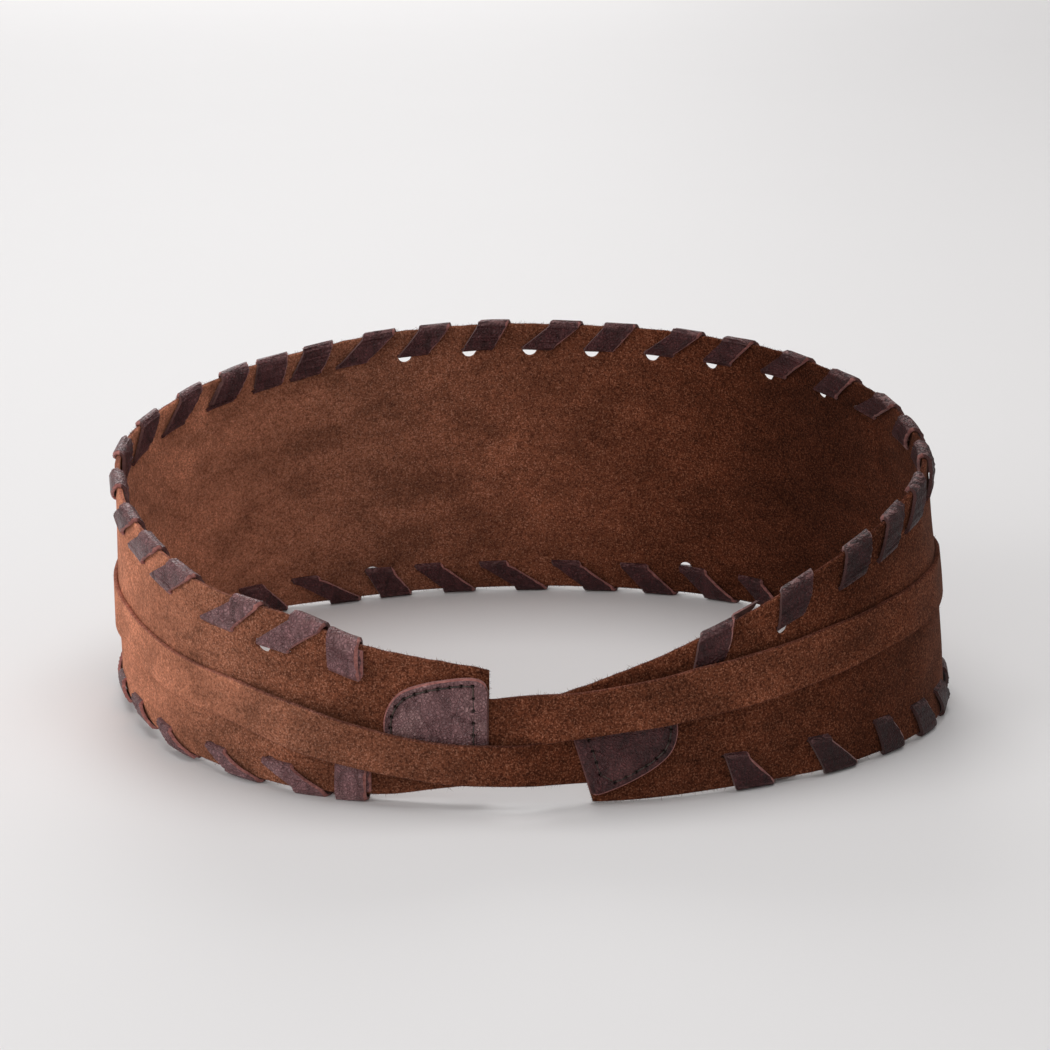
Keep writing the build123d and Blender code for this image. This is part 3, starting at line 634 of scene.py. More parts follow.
def lace_skin(path, name):
    """Closed ribbon through the rows, with a bevelled cut edge down each long side; the cut edges carry
    painted light along the loop, a fifth as light on one long edge.
    """
    rows = np.array(path.rows)
    rows[:, 1] *= np.where(rows[:, 1] < 0, depth_share(rows[:, 0], path.upper), 1.0)
    s, v, n, facing, rung, fold, lift = (column[:, None] for column in rows.T)
    across_grain = np.linspace(-1, 1, LACE_ACROSS)[None]
    seen_from = np.where(np.cos(facing) < 0, 1.0, -1.0)
    order = np.arange(len(rows))
    ragged = np.interp(order, order[::2], path.rng.uniform(0.2, 0.75, len(order[::2])))[:, None]
    half_t = LACE_THICKNESS / 2
    creases = 0.25 * waves(order[:, None] * 3.0, across_grain * 2.0, 5.0, 6, path.seed + 3)

    def layer(across, depth, relief=0.0):
        bow = LACE_BOW * across ** 2 * (1 - fold)
        raise_edge = lift * np.clip(seen_from * across * 1.2, 0, 1) ** 2 * -seen_from
        out = depth + bow * 0.5 + relief
        place = s + across * rung / 2
        return at(place, path.height(place, v + np.sin(facing) * out), n + np.cos(facing) * out + raise_edge)

    shown = across_grain * seen_from > 0
    edge_in = np.where(shown, ragged, 0.08)
    # tone: painted light and shade along the loop, lighter towards the left-hand end
    tone = np.where(np.cos(facing) > 0, *leather_painted_light(s))
    paled = np.clip(tone, 0.3, 1.0)
    grain = layer(across_grain * (1 - 2 * edge_in / rung), half_t, creases)
    flesh = layer(across_grain[:, ::-1], -half_t)
    side, other = (layer(np.array([[way]]), -half_t * 0.1) for way in (1.0, -1.0))
    ring = np.concatenate([grain, side, flesh, other], 1)
    # lightness of the cut edges: the lace's painted light, a fifth as light on the other long edge
    raw = np.where(shown, paled, 0.2 * paled)
    left, right = (np.where(seen_from * way > 0, paled, 0.2 * paled) for way in (-1, 1))
    ring_cut_edge_painted_light = np.concatenate([raw, right, raw[:, ::-1], left], 1)
    build = Builder()
    ids = build.add(ring, fold=fold, tone=tone, raw=ring_cut_edge_painted_light)
    kinds = [0] * (LACE_ACROSS - 1) + [1] * 2 + [2] * (LACE_ACROSS - 1) + [1] * 2
    if not path.upper:
        ids = ids[:, ::-1]
        kinds = kinds_reversed(kinds)
    build.grid(ids, kinds, wrap=True)
    build.cap(ids[0], 1)
    build.cap(ids[-1, ::-1], 1)
    lace_fray(build, path, rows)
    return build.finish(name, [LACE, RAW_EDGE, FLESH], 40.0)


def kinds_reversed(kinds):
    """Material numbers of a ring of faces when its points are taken the other way round."""
    return kinds[:-1][::-1] + kinds[-1:]


def lace_fray(build, path, rows):
    """A few loose fibres on the cut long edges."""
    count = len(rows) * LACE_FIBRES_PER_ROW
    rng = path.rng
    pick = rng.integers(0, len(rows), count)
    s, v, n, facing, rung = rows[pick, :5].T
    side = rng.choice([-1.0, 1.0], count)
    place = s + side * rung / 2
    length = rng.gamma(2.0, 0.12, count)
    drift = rng.normal(0, 0.5, count) * length
    roots = at(place - side * FIBRE_ROOT, path.height(place, v), n)
    place = place + side * length
    tips = at(place, path.height(place, v + np.sin(facing) * drift), n + np.cos(facing) * drift)
    # the fibres take the lace's painted light
    build.needles(roots, tips, LACE_FIBRE, 1, fold=0.0, tone=leather_painted_light(s)[0], raw=0.6)


def laces():
    made = {}
    for upper, stitches in ((True, TOP_STITCHES), (False, BOTTOM_STITCHES)):
        holes = hole_stations(stitches, upper)
        path = LacePath(upper, SEED + 60 + upper)
        lay_first_wrap(path, stitches, holes)
        count = len(stitches)
        last = JOIN_STITCH if upper else count
        for k in range(2, last):
            lay_stitch(path, holes[k - 1], stitches[k], holes[k])
        if upper:
            r = LACE_RADIUS
            tip = stitches[last] - 0.6
            path.run(-1, holes[last - 1], tip, HOLE_FOLD, -1.0, r, r, LACE_RUNG, LACE_RUNG, 0.0)
            path.row(tip, -1.0, -r, pi, LACE_RUNG)
            made["top_lace_left"] = lace_skin(path, "top_lace_left_strip")
            made["top_lace_right"] = second_lace(stitches, holes)
        else:
            lay_last_tuck(path, stitches, holes)
            made["bottom_lace"] = lace_skin(path, "bottom_lace_strip")
    return made


def second_lace(stitches, holes):
    """The upper lace that takes over at the join, its end laid over the end of the first."""
    path = LacePath(True, SEED + 90)
    r, thick = LACE_RADIUS, LACE_RADIUS + LAYER_STEP
    start, k = holes[JOIN_STITCH - 1] + 0.7, JOIN_STITCH
    stitch, hole = stitches[k], holes[k]
    path.row(start, -6.6, -thick, pi, LACE_RUNG)
    path.run(-1, start, stitch - 0.6, -6.6, EDGE_FOLD, thick, thick, LACE_RUNG, LACE_RUNG, 0.1)
    path.fold(stitch - 0.6, stitch + 0.8, True, thick, r, LACE_RUNG, LACE_RUNG)
    path.run(1, stitch + 0.8, hole - 0.8, EDGE_FOLD, HOLE_FOLD, r, r, LACE_RUNG, LACE_RUNG, 0.2)
    path.fold(hole - 0.8, hole + 0.5, False, r, r, LACE_RUNG, LACE_RUNG)
    for k in range(JOIN_STITCH + 1, len(stitches)):
        lay_stitch(path, holes[k - 1], stitches[k], holes[k])
    lay_last_tuck(path, stitches, holes)
    return lace_skin(path, "top_lace_right_strip")


# ---------------- patches and their thread
def smooth_curve(points, samples):
    """Curve through the points, evenly sampled (Catmull-Rom)."""
    p = np.array(points, float)
    p = np.concatenate([2 * p[:1] - p[1:2], p, 2 * p[-1:] - p[-2:-1]])
    out = []
    for i in range(1, len(p) - 2):
        for t in np.linspace(0, 1, 40, endpoint=False):
            a, b, c, d = p[i - 1], p[i], p[i + 1], p[i + 2]
            out.append(0.5 * (2 * b + (c - a) * t + (2 * a - 5 * b + 4 * c - d) * t * t
                              + (3 * b - a - 3 * c + d) * t ** 3))
    out.append(p[-2])
    out = np.array(out)
    length = np.concatenate([[0], np.cumsum(np.linalg.norm(np.diff(out, axis=0), axis=1))])
    want = np.linspace(0, length[-1], samples)
    return np.stack([np.interp(want, length, out[:, i]) for i in range(out.shape[1])], -1)


def patch_outline(square):
    """Closed outline of a patch: the curved side, then the straight side along the band end."""
    upper = list(PATCH_OUTLINE)
    if square:
        upper[:3] = SQUARE_CORNER
    lower = [(x, -y) for x, y in reversed(upper[:-1])]
    curve = smooth_curve(upper + lower, 300)
    straight = np.linspace(curve[-1], curve[0], 92)[1:-1]
    return curve, np.concatenate([curve, straight])


def patch_map(place, into):
    """Function from patch coordinates (x into the band, y up) to band coordinates (s, z)."""
    s0, z0, slant_angle = place
    a = radians(slant_angle)

    def to_band(x, y):
        ahead = x * cos(a) - y * sin(a)
        above = x * sin(a) + y * cos(a)
        return s0 + into * ahead, z0 + above

    return to_band


def inset_rings(outline, offsets):
    """Rings inside the outline at the given offsets, drawn in along rays to a short middle line."""
    ahead = np.roll(outline, -1, 0) - np.roll(outline, 1, 0)
    ahead /= np.linalg.norm(ahead, axis=1, keepdims=True)
    inward = np.stack([ahead[:, 1], -ahead[:, 0]], -1)
    aim = np.stack([np.clip(outline[:, 0], 8.5, 13.0), 0.25 * outline[:, 1]], -1)
    ray = aim - outline
    reach = np.linalg.norm(ray, axis=1, keepdims=True)
    ray /= reach
    facing = np.clip((ray * inward).sum(1, keepdims=True), 0.45, 1.0)
    return [outline + ray * np.minimum(o / facing, reach * 0.985) for o in offsets]


def edge_distance(points, outline):
    """Distance from each point to the outline."""
    gap = points[:, None, :] - outline[None, :, :]
    return np.sqrt((gap ** 2).sum(-1)).min(1)


def needle_holes(square):
    """Needle holes round the curved side and down the row beside the band end."""
    curve, _ = patch_outline(square)
    step = np.gradient(curve, axis=0)
    step /= np.linalg.norm(step, axis=1, keepdims=True)
    inner = curve + np.stack([step[:, 1], -step[:, 0]], -1) * THREAD_INSET
    inner = inner[inner[:, 0] >= THREAD_ROW]
    spots = [inner[0]]
    for q in inner[1:]:
        if np.linalg.norm(q - spots[-1]) >= THREAD_PITCH:
            spots.append(q)
    span = spots[0][1] - spots[-1][1]
    rows = int(span / THREAD_PITCH)
    low = spots[-1][1]
    for i in range(1, rows):
        spots.append(np.array([THREAD_ROW, low + span * i / rows]))
    return np.array(spots)


RING_OFFSETS = (0.0, 0.12, 0.3, 0.55, 0.9, 1.15, 1.3, 1.45, 1.6, 1.75, 1.9, 2.1, 2.3, 2.5, 2.75, 2.95, 3.15,
                3.4, 3.7, 4.1, 4.6, 5.2, 5.9, 6.7, 7.6, 8.6, 9.8, 11.2)
GROOVE_DEPTH = 0.16
NEEDLE_DEPTH = 0.55
CREASE_FROM_ROW = -0.85
CREASE_DEPTH = 0.16


def stitch_relief(points, spots):
    """Height of the leather around the seam: a shallow groove, a deep dimple at each hole, a crease line; and
    a mask for the painted shade in each hole.
    """
    closed = np.concatenate([spots, spots[:1]])
    groove = np.full(len(points), 1e9)
    for a, b in zip(closed, closed[1:]):
        run = b - a
        t = np.clip(((points - a) @ run) / (run @ run), 0, 1)
        groove = np.minimum(groove, np.linalg.norm(points - a - t[:, None] * run, axis=1))
    hole = edge_distance(points, spots)
    crease = np.abs(points[:, 0] - (THREAD_ROW + CREASE_FROM_ROW))
    relief = -GROOVE_DEPTH * np.exp(-(groove / 0.45) ** 2)
    relief -= NEEDLE_DEPTH * np.exp(-(hole / 0.36) ** 4)
    relief -= CREASE_DEPTH * np.exp(-(crease / 0.16) ** 2)
    return relief, np.exp(-(hole / 0.44) ** 4)


def patch_skin(name, place, into, square, strap_z):
    _, outline = patch_outline(square)
    to_band = patch_map(place, into)
    spots = needle_holes(square)
    top = HALF_BAND + PATCH_THICKNESS
    build = Builder()
    rings = []
    wall = ((-0.06, HALF_BAND + 0.04), (0.0, HALF_BAND + 0.5), (0.0, HALF_BAND + 1.0))
    centre = np.array([11.0, 0.0])

    def add_ring(ring, s, z, level, pit, offset):
        # tone is painted light along the loop; the cut edge is also darker along the straight side
        tone = leather_painted_light(s)[0]
        patch_edge_painted_light = np.where(ring[:, 0] < 0.6 + offset, 0.3, 1.0) * np.clip(tone, 0.5, 1.0)
        rings.append(build.add(at(s, z, level), pit=pit, tone=tone, raw=patch_edge_painted_light))

    for shift, level in wall:
        ring = outline + (outline - centre) * shift / 12.0
        s, z = to_band(ring[:, 0], ring[:, 1])
        add_ring(ring, s, z, level, 0.0, 0.0)
    for offset, ring in zip(RING_OFFSETS, inset_rings(outline, RING_OFFSETS)):
        s, z = to_band(ring[:, 0], ring[:, 1])
        relief, pit = stitch_relief(ring, spots)
        roll = 0.32 * np.clip(1 - offset / 0.6, 0, 1) ** 2
        over_strap = np.clip(1.25 - np.abs(z - strap_z) / (STRAP_WIDTH / 2), 0, 1)
        hump = 0.16 * np.clip(over_strap * 3, 0, 1) * np.clip((14.0 - ring[:, 0]) / 4, 0, 1)
        soft = 0.09 * waves(ring[:, 0] * 6, ring[:, 1] * 6, 40.0, 6, SEED + 3)
        add_ring(ring, s, z, top - 0.1 + relief - roll + (hump + soft) * min(1.0, offset / 2), pit, offset)
    numbers = np.stack(rings)
    if into < 0:
        numbers = numbers[:, ::-1]
    build.grid(numbers[:6], 1, wrap=True)
    build.grid(numbers[5:], 0, wrap=True)
    build.cap(numbers[-1][::-1], 0)
    build.cap(numbers[0], 1)
    return build.finish(name, [PATCH, RAW_EDGE], 60.0)


def tube(build, line, radius):
    """Closed round tube along a line of points."""
    run = np.gradient(line, axis=0)
    run /= np.linalg.norm(run, axis=1, keepdims=True)
    side = np.cross(run, np.array([0.13, 0.21, 0.97]))
    side /= np.linalg.norm(side, axis=1, keepdims=True)
    up = np.cross(run, side)
    turn = np.linspace(0, 2 * pi, TUBE_SIDES, endpoint=False)
    ring = line[:, None] + radius * (side[:, None] * np.cos(turn)[None, :, None]
                                     + up[:, None] * np.sin(turn)[None, :, None])
    ids = build.add(ring)
    build.grid(ids, wrap=True)
    build.cap(ids[0][::-1])
    build.cap(ids[-1])


def patch_thread(name, place, into, square):
    """Sewing thread: a stitch between each pair of needle holes on both faces, and two loose ends."""
    to_band = patch_map(place, into)
    spots = needle_holes(square)
    rng = np.random.default_rng(SEED + 70 + square)
    build = Builder()
    outer_level = HALF_BAND + PATCH_THICKNESS - 0.1 - GROOVE_DEPTH
    t = np.linspace(0, 1, 11)
    rise = np.minimum(1.0, np.sin(pi * t) * 2.2)
    for a, b in zip(spots, np.roll(spots, -1, 0)):
        line = a + (b - a) * t[:, None]
        s, z = to_band(line[:, 0], line[:, 1])
        wobble = rng.normal(0, 0.04)
        outer = outer_level - 0.62 + rise * (0.68 + wobble)
        inner = -HALF_BAND + 0.25 - rise * 0.32
        tube(build, at(s, z + wobble, outer), THREAD_RADIUS)
        tube(build, at(s, z, inner), THREAD_INNER_RADIUS)
    for end, (ds, dz, dn) in enumerate(((1.2, -2.4, 0.5), (2.0, -1.6, 0.9), (0.5, -2.2, 1.2))):
        corner = spots[-1] if end else spots[0] * np.array([1.0, -1.0])
        s, z = to_band(corner[0] - 1.5 + end * 0.8, corner[1] - 1.2)
        if not square or z - 2.4 < 0.5:
            dz = dz * 0.5
        curl = t ** 1.5
        line = at(s - into * ds * curl, np.maximum(z + dz * t, 0.25), -HALF_BAND - 0.3 - dn * np.sin(pi * t))
        tube(build, line, THREAD_END_RADIUS)
    return build.finish(name, [THREAD], 60.0)


# ---------------- tie straps
STRAP_ACROSS = 15
STRAP_SECTIONS = 26
KNOT_SECTIONS = 19
BARE_ROOT = 14


def flat_corners(s, z, gap, heading, width, thickness, flip):
    """Corners of a strap section square to its heading along the band face, as (s, z, n)."""
    ds, dz = np.array(heading) / np.hypot(*heading)
    up = (-dz, ds) if ds > 0 else (dz, -ds)
    corners = ((-1, gap), (1, gap), (1, gap + thickness), (-1, gap + thickness))
    if flip:
        corners = ((1, gap + thickness), (-1, gap + thickness), (-1, gap), (1, gap))
    half = width / 2
    return [(s + side * half * up[0], z + side * half * up[1], n) for side, n in corners]


def knot_corners(travel, theta):
    """Corners of the bunched strap in the half knot."""
    turn = -1 if travel > 0 else 1
    s = -travel * KNOT_HALF_LENGTH * (1 - 2 * theta / (3 * pi))
    radial = (cos(theta), turn * sin(theta))
    tangent = (-turn * sin(theta), cos(theta))
    z = KNOT_HEIGHT + KNOT_RADIUS * radial[0]
    n = KNOT_OFFSET + KNOT_RADIUS * radial[1]
    points = []
    for r, t in ((-1, -1), (1, -1), (1, 1), (-1, 1)):
        dr, dt = r * BUNCH_RADIAL / 2, t * BUNCH_TANGENT / 2
        points.append((s, z + dr * radial[0] + dt * tangent[0], n + dr * radial[1] + dt * tangent[1]))
    return points


def strap_corners(root, run, travel):
    """Sections of a strap from its root under the patch round to its tail, and how bunched each one is."""
    sections, bunched = [], []

    def put(corners, share):
        sections.append(corners)
        bunched.append(share)

    for s, z, gap, thickness, width in root:
        put(flat_corners(s - travel * PERIMETER, z, gap, (travel, 0.0), width, thickness, False), 0.0)
    heights, gaps, widths = (sorted((station[0], station[i]) for station in run) for i in (1, 2, 3))
    start, end = run[0][0], run[-1][0]
    for i in range(STRAP_SECTIONS + 1):
        s = start + (end - start) * i / STRAP_SECTIONS
        slope = float(along(heights, s + 1) - along(heights, s - 1)) / 2
        z, gap, width = (float(along(profile, s)) for profile in (heights, gaps, widths))
        put(flat_corners(s, z, gap, (travel, travel * slope), width, STRAP_THICKNESS, False), 0.0)
    for share in (0.45, 0.75):
        s = end + (-travel * KNOT_HALF_LENGTH - end) * share
        width = STRAP_WIDTH + (BUNCH_RADIAL - STRAP_WIDTH) * share
        thickness = STRAP_THICKNESS + (BUNCH_TANGENT - STRAP_THICKNESS) * share
        gap = run[-1][2] + (KNOT_OFFSET - BUNCH_TANGENT / 2 - run[-1][2]) * share
        z = KNOT_HEIGHT + 0.15 + width / 2
        put(flat_corners(s, z, gap, (travel, 0.0), width, thickness, False), share)
    for i in range(KNOT_SECTIONS):
        put(knot_corners(travel, i * pi / 6), 1.0)
    tail_gap = KNOT_OFFSET - BUNCH_TANGENT / 2
    before = (0.0, KNOT_RADIUS)
    for i, (out, drop, width, thickness) in enumerate(TAIL_RUN):
        gap = max(tail_gap - 0.35 * (i + 1), 1.9)
        heading = (travel * (out - before[0]), -(drop - before[1]))
        before = (out, drop)
        s = travel * (KNOT_HALF_LENGTH + out)
        corners = flat_corners(s, KNOT_HEIGHT - drop, gap, heading, width, thickness, True)
        put(corners, max(0.0, 0.7 - 0.4 * i))
    return np.array(sections), np.array(bunched)


def strap_skin(name, root, run, travel, nap_and_painted_light_profile):
    corners, bunched = strap_corners(root, run, travel)
    middles = at(*corners.mean(1).T)
    length = np.concatenate([[0], np.cumsum(np.linalg.norm(np.diff(middles, axis=0), axis=1))])
    want = fill(list(length), 1.1)
    rails = [hermite(length, rail, np.gradient(rail, length, axis=0), want)
             for rail in np.moveaxis(corners, 1, 0)]
    pleat = np.interp(want, length, bunched)
    across = np.linspace(-0.96, 0.96, STRAP_ACROSS)
    ring_a = np.concatenate([across, [1.0, 1.0], across[::-1], [-1.0, -1.0]])
    ring_b = np.repeat([-1.0, -0.55, 0.55, 1.0, 0.55, -0.55], [STRAP_ACROSS, 1, 1, STRAP_ACROSS, 1, 1])
    a, b = ring_a[None, :, None], ring_b[None, :, None]
    low, far = (rails[i][:, None] * (1 - a) / 2 + rails[j][:, None] * (1 + a) / 2
                for i, j in ((0, 1), (3, 2)))
    spots = low * (1 - b) / 2 + far * (1 + b) / 2
    ripple = 0.13 * pleat[:, None] * np.sin(ring_a * 9 + want[:, None] * 0.25)
    edge_wave = 0.1 * waves(want[:, None], 30 * ring_a[None, :], 26.0, 5, SEED + 8) * np.abs(ring_a) ** 3
    inward = (low - far)[:, :, 2] / np.maximum(np.linalg.norm(low - far, axis=2), 1e-6)
    spots[:, :, 2] += np.abs(edge_wave) * (1 - pleat[:, None]) * (want[:, None] > 18)
    spots[:, :, 1] += ripple * (1 - np.abs(inward))
    spots[:, :, 2] += ripple * inward
    xyz = at(spots[:, :, 0], spots[:, :, 1], spots[:, :, 2])
    # lightness of the strap: painted light and shade along the loop, partly from the brushing of the suede
    nap = np.interp(spots[:, :, 0], *zip(*nap_and_painted_light_profile))
    build = Builder()
    ids = build.add(xyz, nap=nap)
    kinds = ([0] * (STRAP_ACROSS - 1) + [1] * 3) * 2
    numbers = ids if travel > 0 else ids[:, ::-1]
    if travel < 0:
        kinds = kinds_reversed(kinds)
    build.grid(numbers[:, ::-1], kinds_reversed(kinds), wrap=True)
    build.cap(numbers[0], 1)
    build.cap(numbers[-1][::-1], 1)
    strap_fray(build, xyz, nap, travel)
    return build.finish(name, [SUEDE, SUEDE_CUT], 55.0)


def strap_fray(build, xyz, nap, travel):
    """Loose fibres along both cut edges of a strap."""
    rng = np.random.default_rng(SEED + 30 + travel)
    count = STRAP_FIBRES
    pick = rng.integers(BARE_ROOT, len(xyz) - 1, count)
    first = np.where(rng.random(count) < 0.5, STRAP_ACROSS, 2 * STRAP_ACROSS + 2)
    column = np.where(first == STRAP_ACROSS, *(first + rng.integers(0, 2, count) for _ in range(2)))
    share = rng.random(count)[:, None]
    roots = xyz[pick, column] * (1 - share) + xyz[pick + 1, column] * share
    half = STRAP_ACROSS // 2
    inside = xyz[pick, half] * 0.5 + xyz[pick, STRAP_ACROSS + 2 + half] * 0.5
    away = roots - inside
    away /= np.linalg.norm(away, axis=1, keepdims=True)
    length = rng.gamma(2.0, 0.15, count)[:, None]
    tips = roots + away * length + rng.normal(0, 0.45, (count, 3)) * length
    tips[:, 2] = np.maximum(tips[:, 2], 0.05)
    # the fibres take the strap's painted light and shade
    build.needles(roots - away * FIBRE_ROOT, tips, STRAP_FIBRE, nap=nap[pick, column])


# ---------------- materials
def new_material(name, roughness):
    material = bpy.data.materials.new(name)
    material.use_nodes = True
    shader = material.node_tree.nodes["Principled BSDF"]
    shader.inputs["Roughness"].default_value = roughness
    return material, material.node_tree, shader


def noise(tree, scale, detail=2.0, roughness=0.5, stretch=None, distortion=0.0):
    """Noise over the object's own space; scale is in features per metre."""
    place = tree.nodes.new("ShaderNodeTexCoord")
    source = place.outputs["Object"]
    if stretch is not None:
        mapping = tree.nodes.new("ShaderNodeMapping")
        mapping.inputs["Scale"].default_value = stretch
        tree.links.new(source, mapping.inputs["Vector"])
        source = mapping.outputs["Vector"]
    node = tree.nodes.new("ShaderNodeTexNoise")
    node.inputs["Scale"].default_value = scale
    node.inputs["Detail"].default_value = detail
    node.inputs["Roughness"].default_value = roughness
    node.inputs["Distortion"].default_value = distortion
    tree.links.new(source, node.inputs["Vector"])
    return node.outputs["Fac"]


def remap(tree, value, low, high, to_low=0.0, to_high=1.0):
    node = tree.nodes.new("ShaderNodeMapRange")
    tree.links.new(value, node.inputs["Value"])
    for label, number in (("From Min", low), ("From Max", high), ("To Min", to_low), ("To Max", to_high)):
        node.inputs[label].default_value = number
    return node.outputs["Result"]


def mix(tree, factor, a, b, blend="MIX"):
    """Colour mix; factor, a and b are each a socket, a number or a colour."""
    node = tree.nodes.new("ShaderNodeMix")
    node.data_type = "RGBA"
    node.blend_type = blend
    for socket, value in ((node.inputs[0], factor), (node.inputs[6], a), (node.inputs[7], b)):
        if isinstance(value, bpy.types.NodeSocket):
            tree.links.new(value, socket)
        elif np.ndim(value):
            socket.default_value = (*value, 1.0)
        else:
            socket.default_value = value
    return node.outputs[2]


def math(tree, operation, a, b):
    node = tree.nodes.new("ShaderNodeMath")
    node.operation = operation
    for socket, value in zip(node.inputs, (a, b)):
        if isinstance(value, bpy.types.NodeSocket):
            tree.links.new(value, socket)
        else:
            socket.default_value = value
    return node.outputs[0]


def times(tree, a, b):
    return mix(tree, 1.0, a, b, "MULTIPLY")


def grey(tree, value):
    """The value as a colour."""
    node = tree.nodes.new("ShaderNodeCombineColor")
    for channel in ("Red", "Green", "Blue"):
        tree.links.new(value, node.inputs[channel])
    return node.outputs["Color"]


def vertex_value(tree, name):
    node = tree.nodes.new("ShaderNodeAttribute")
    node.attribute_name = name
    return node.outputs["Fac"]


def bump(tree, shader, layers):
    """Chains bump layers of (height, strength, distance in mm) into the shader's normal."""
    normal = None
    for height, strength, distance in layers:
        node = tree.nodes.new("ShaderNodeBump")
        node.inputs["Strength"].default_value = strength
        node.inputs["Distance"].default_value = distance * MM
        tree.links.new(height, node.inputs["Height"])
        if normal is not None:
            tree.links.new(normal, node.inputs["Normal"])
        normal = node.outputs["Normal"]
    tree.links.new(normal, shader.inputs["Normal"])


SUEDE_DARK = (0.050, 0.0145, 0.0072)
SUEDE_MIDDLE = (0.148, 0.0480, 0.0235)
SUEDE_LIGHT = (0.29, 0.124, 0.072)
SUEDE_EVEN = (0.120, 0.0415, 0.0215)
# tints of the suede's painted shade (redder) and of its painted light with painted sheen (whiter)
SHADED_TINT = (1.03, 0.84, 0.74)
PAINTED_SHEEN_TINT = (0.97, 1.13, 1.30)


def suede(name, tint):
    """Suede of short fibres: fine dark and light tufts, brushed clouds, and painted light and shade from a
    vertex value along the loop, partly from the brushing of the fibres; where it is lighter the colour is
    also less speckled and whiter, the whiter tint being painted sheen, and where darker, redder.
    """
    material, tree, shader = new_material(name, 0.95)
    tufts = noise(tree, 1700.0, 2.0, 0.65)
    specks = noise(tree, 2600.0, 1.0, 0.5)
    clumps = noise(tree, 520.0, 3.0, 0.6)
    brushed = noise(tree, 62.0, 4.0, 0.62, stretch=(1.0, 1.0, 1.7), distortion=0.4)
    broad = noise(tree, 21.0, 2.0, 0.5)
    # the vertex lightness is painted light and shade along the loop, partly from the brushing of the suede;
    # it evens out the specks, scales the colour and tints it
    nap = vertex_value(tree, "nap")
    colour = mix(tree, remap(tree, tufts, 0.36, 0.62), SUEDE_DARK, SUEDE_MIDDLE)
    fading = remap(tree, nap, 0.8, 3.0, 1.0, 0.4)
    specks = math(tree, "MULTIPLY", remap(tree, specks, 0.54, 0.7, 0.0, 0.9), fading)
    colour = mix(tree, specks, colour, SUEDE_LIGHT)
    colour = mix(tree, remap(tree, nap, 0.9, 3.2, 0.0, 0.32), colour, SUEDE_EVEN)
    cloud = remap(tree, brushed, 0.3, 0.7, 0.66, 1.34)
    for other in (remap(tree, broad, 0.3, 0.7, 0.82, 1.18), remap(tree, clumps, 0.3, 0.7, 0.84, 1.16), nap):
        cloud = math(tree, "MULTIPLY", cloud, other)
    shade_to_sheen_tint = mix(tree, remap(tree, nap, 0.4, 2.2), SHADED_TINT, PAINTED_SHEEN_TINT)
    for other in (grey(tree, cloud), shade_to_sheen_tint, tint):
        colour = times(tree, colour, other)
    tree.links.new(colour, shader.inputs["Base Color"])
    shader.inputs["Specular IOR Level"].default_value = 0.04
    shader.inputs["Sheen Weight"].default_value = 0.06
    shader.inputs["Sheen Roughness"].default_value = 0.5
    shader.inputs["Sheen Tint"].default_value = (0.9, 0.6, 0.5, 1.0)
    bump(tree, shader, ((brushed, 0.4, 1.5), (clumps, 0.4, 0.4), (tufts, 0.7, 0.25)))
    return material


def grain_leather(name, dark, light, scuff, grain_scale, gloss):
    """Glossy pebbled grain with wrinkles, scuffed on its high spots; the tone value paints light and shade
    along the loop, lighter and whiter where painted light falls, darker and redder in painted shade.
    """
    material, tree, shader = new_material(name, gloss)
    pebble = tree.nodes.new("ShaderNodeTexVoronoi")
    pebble.feature = "DISTANCE_TO_EDGE"
    pebble.inputs["Scale"].default_value = grain_scale
    place = tree.nodes.new("ShaderNodeTexCoord")
    warp = tree.nodes.new("ShaderNodeTexNoise")
    warp.inputs["Scale"].default_value = grain_scale * 0.7
    tree.links.new(place.outputs["Object"], warp.inputs["Vector"])
    shift = mix(tree, 0.0012, place.outputs["Object"], warp.outputs["Color"], "ADD")
    tree.links.new(shift, pebble.inputs["Vector"])
    furrow = remap(tree, pebble.outputs["Distance"], 0.0, 0.3)
    wrinkle = noise(tree, 330.0, 4.0, 0.66, stretch=(1.3, 1.3, 0.6), distortion=1.0)
    patchy = noise(tree, 150.0, 3.0, 0.6)
    fine = noise(tree, 2600.0, 2.0, 0.5)
    colour = mix(tree, remap(tree, wrinkle, 0.35, 0.68), dark, light)
    colour = mix(tree, remap(tree, patchy, 0.5, 0.75, 0.0, 0.4), colour, scuff)
    colour = mix(tree, remap(tree, furrow, 0.0, 1.0, 0.7, 0.0), colour, dark)
    # tone is painted light and shade along the loop: it scales the colour, whiter where lighter and redder
    # where darker
    tone = vertex_value(tree, "tone")
    painted_light_hue = mix(tree, remap(tree, tone, 0.5, 2.7), (1.12, 0.56, 0.58), (0.92, 1.12, 1.12))
    colour = times(tree, times(tree, colour, grey(tree, tone)), painted_light_hue)
    tree.links.new(colour, shader.inputs["Base Color"])
    dullness = remap(tree, tone, 0.5, 2.7, 0.14, -0.07)
    rough = math(tree, "ADD", remap(tree, wrinkle, 0.3, 0.7, gloss - 0.08, gloss + 0.08), dullness)
    tree.links.new(rough, shader.inputs["Roughness"])
    shader.inputs["Specular IOR Level"].default_value = 0.32
    bump(tree, shader, ((wrinkle, 0.9, 0.6), (furrow, 1.0, 0.22), (fine, 0.3, 0.06)))
    return material, tree, shader, colour


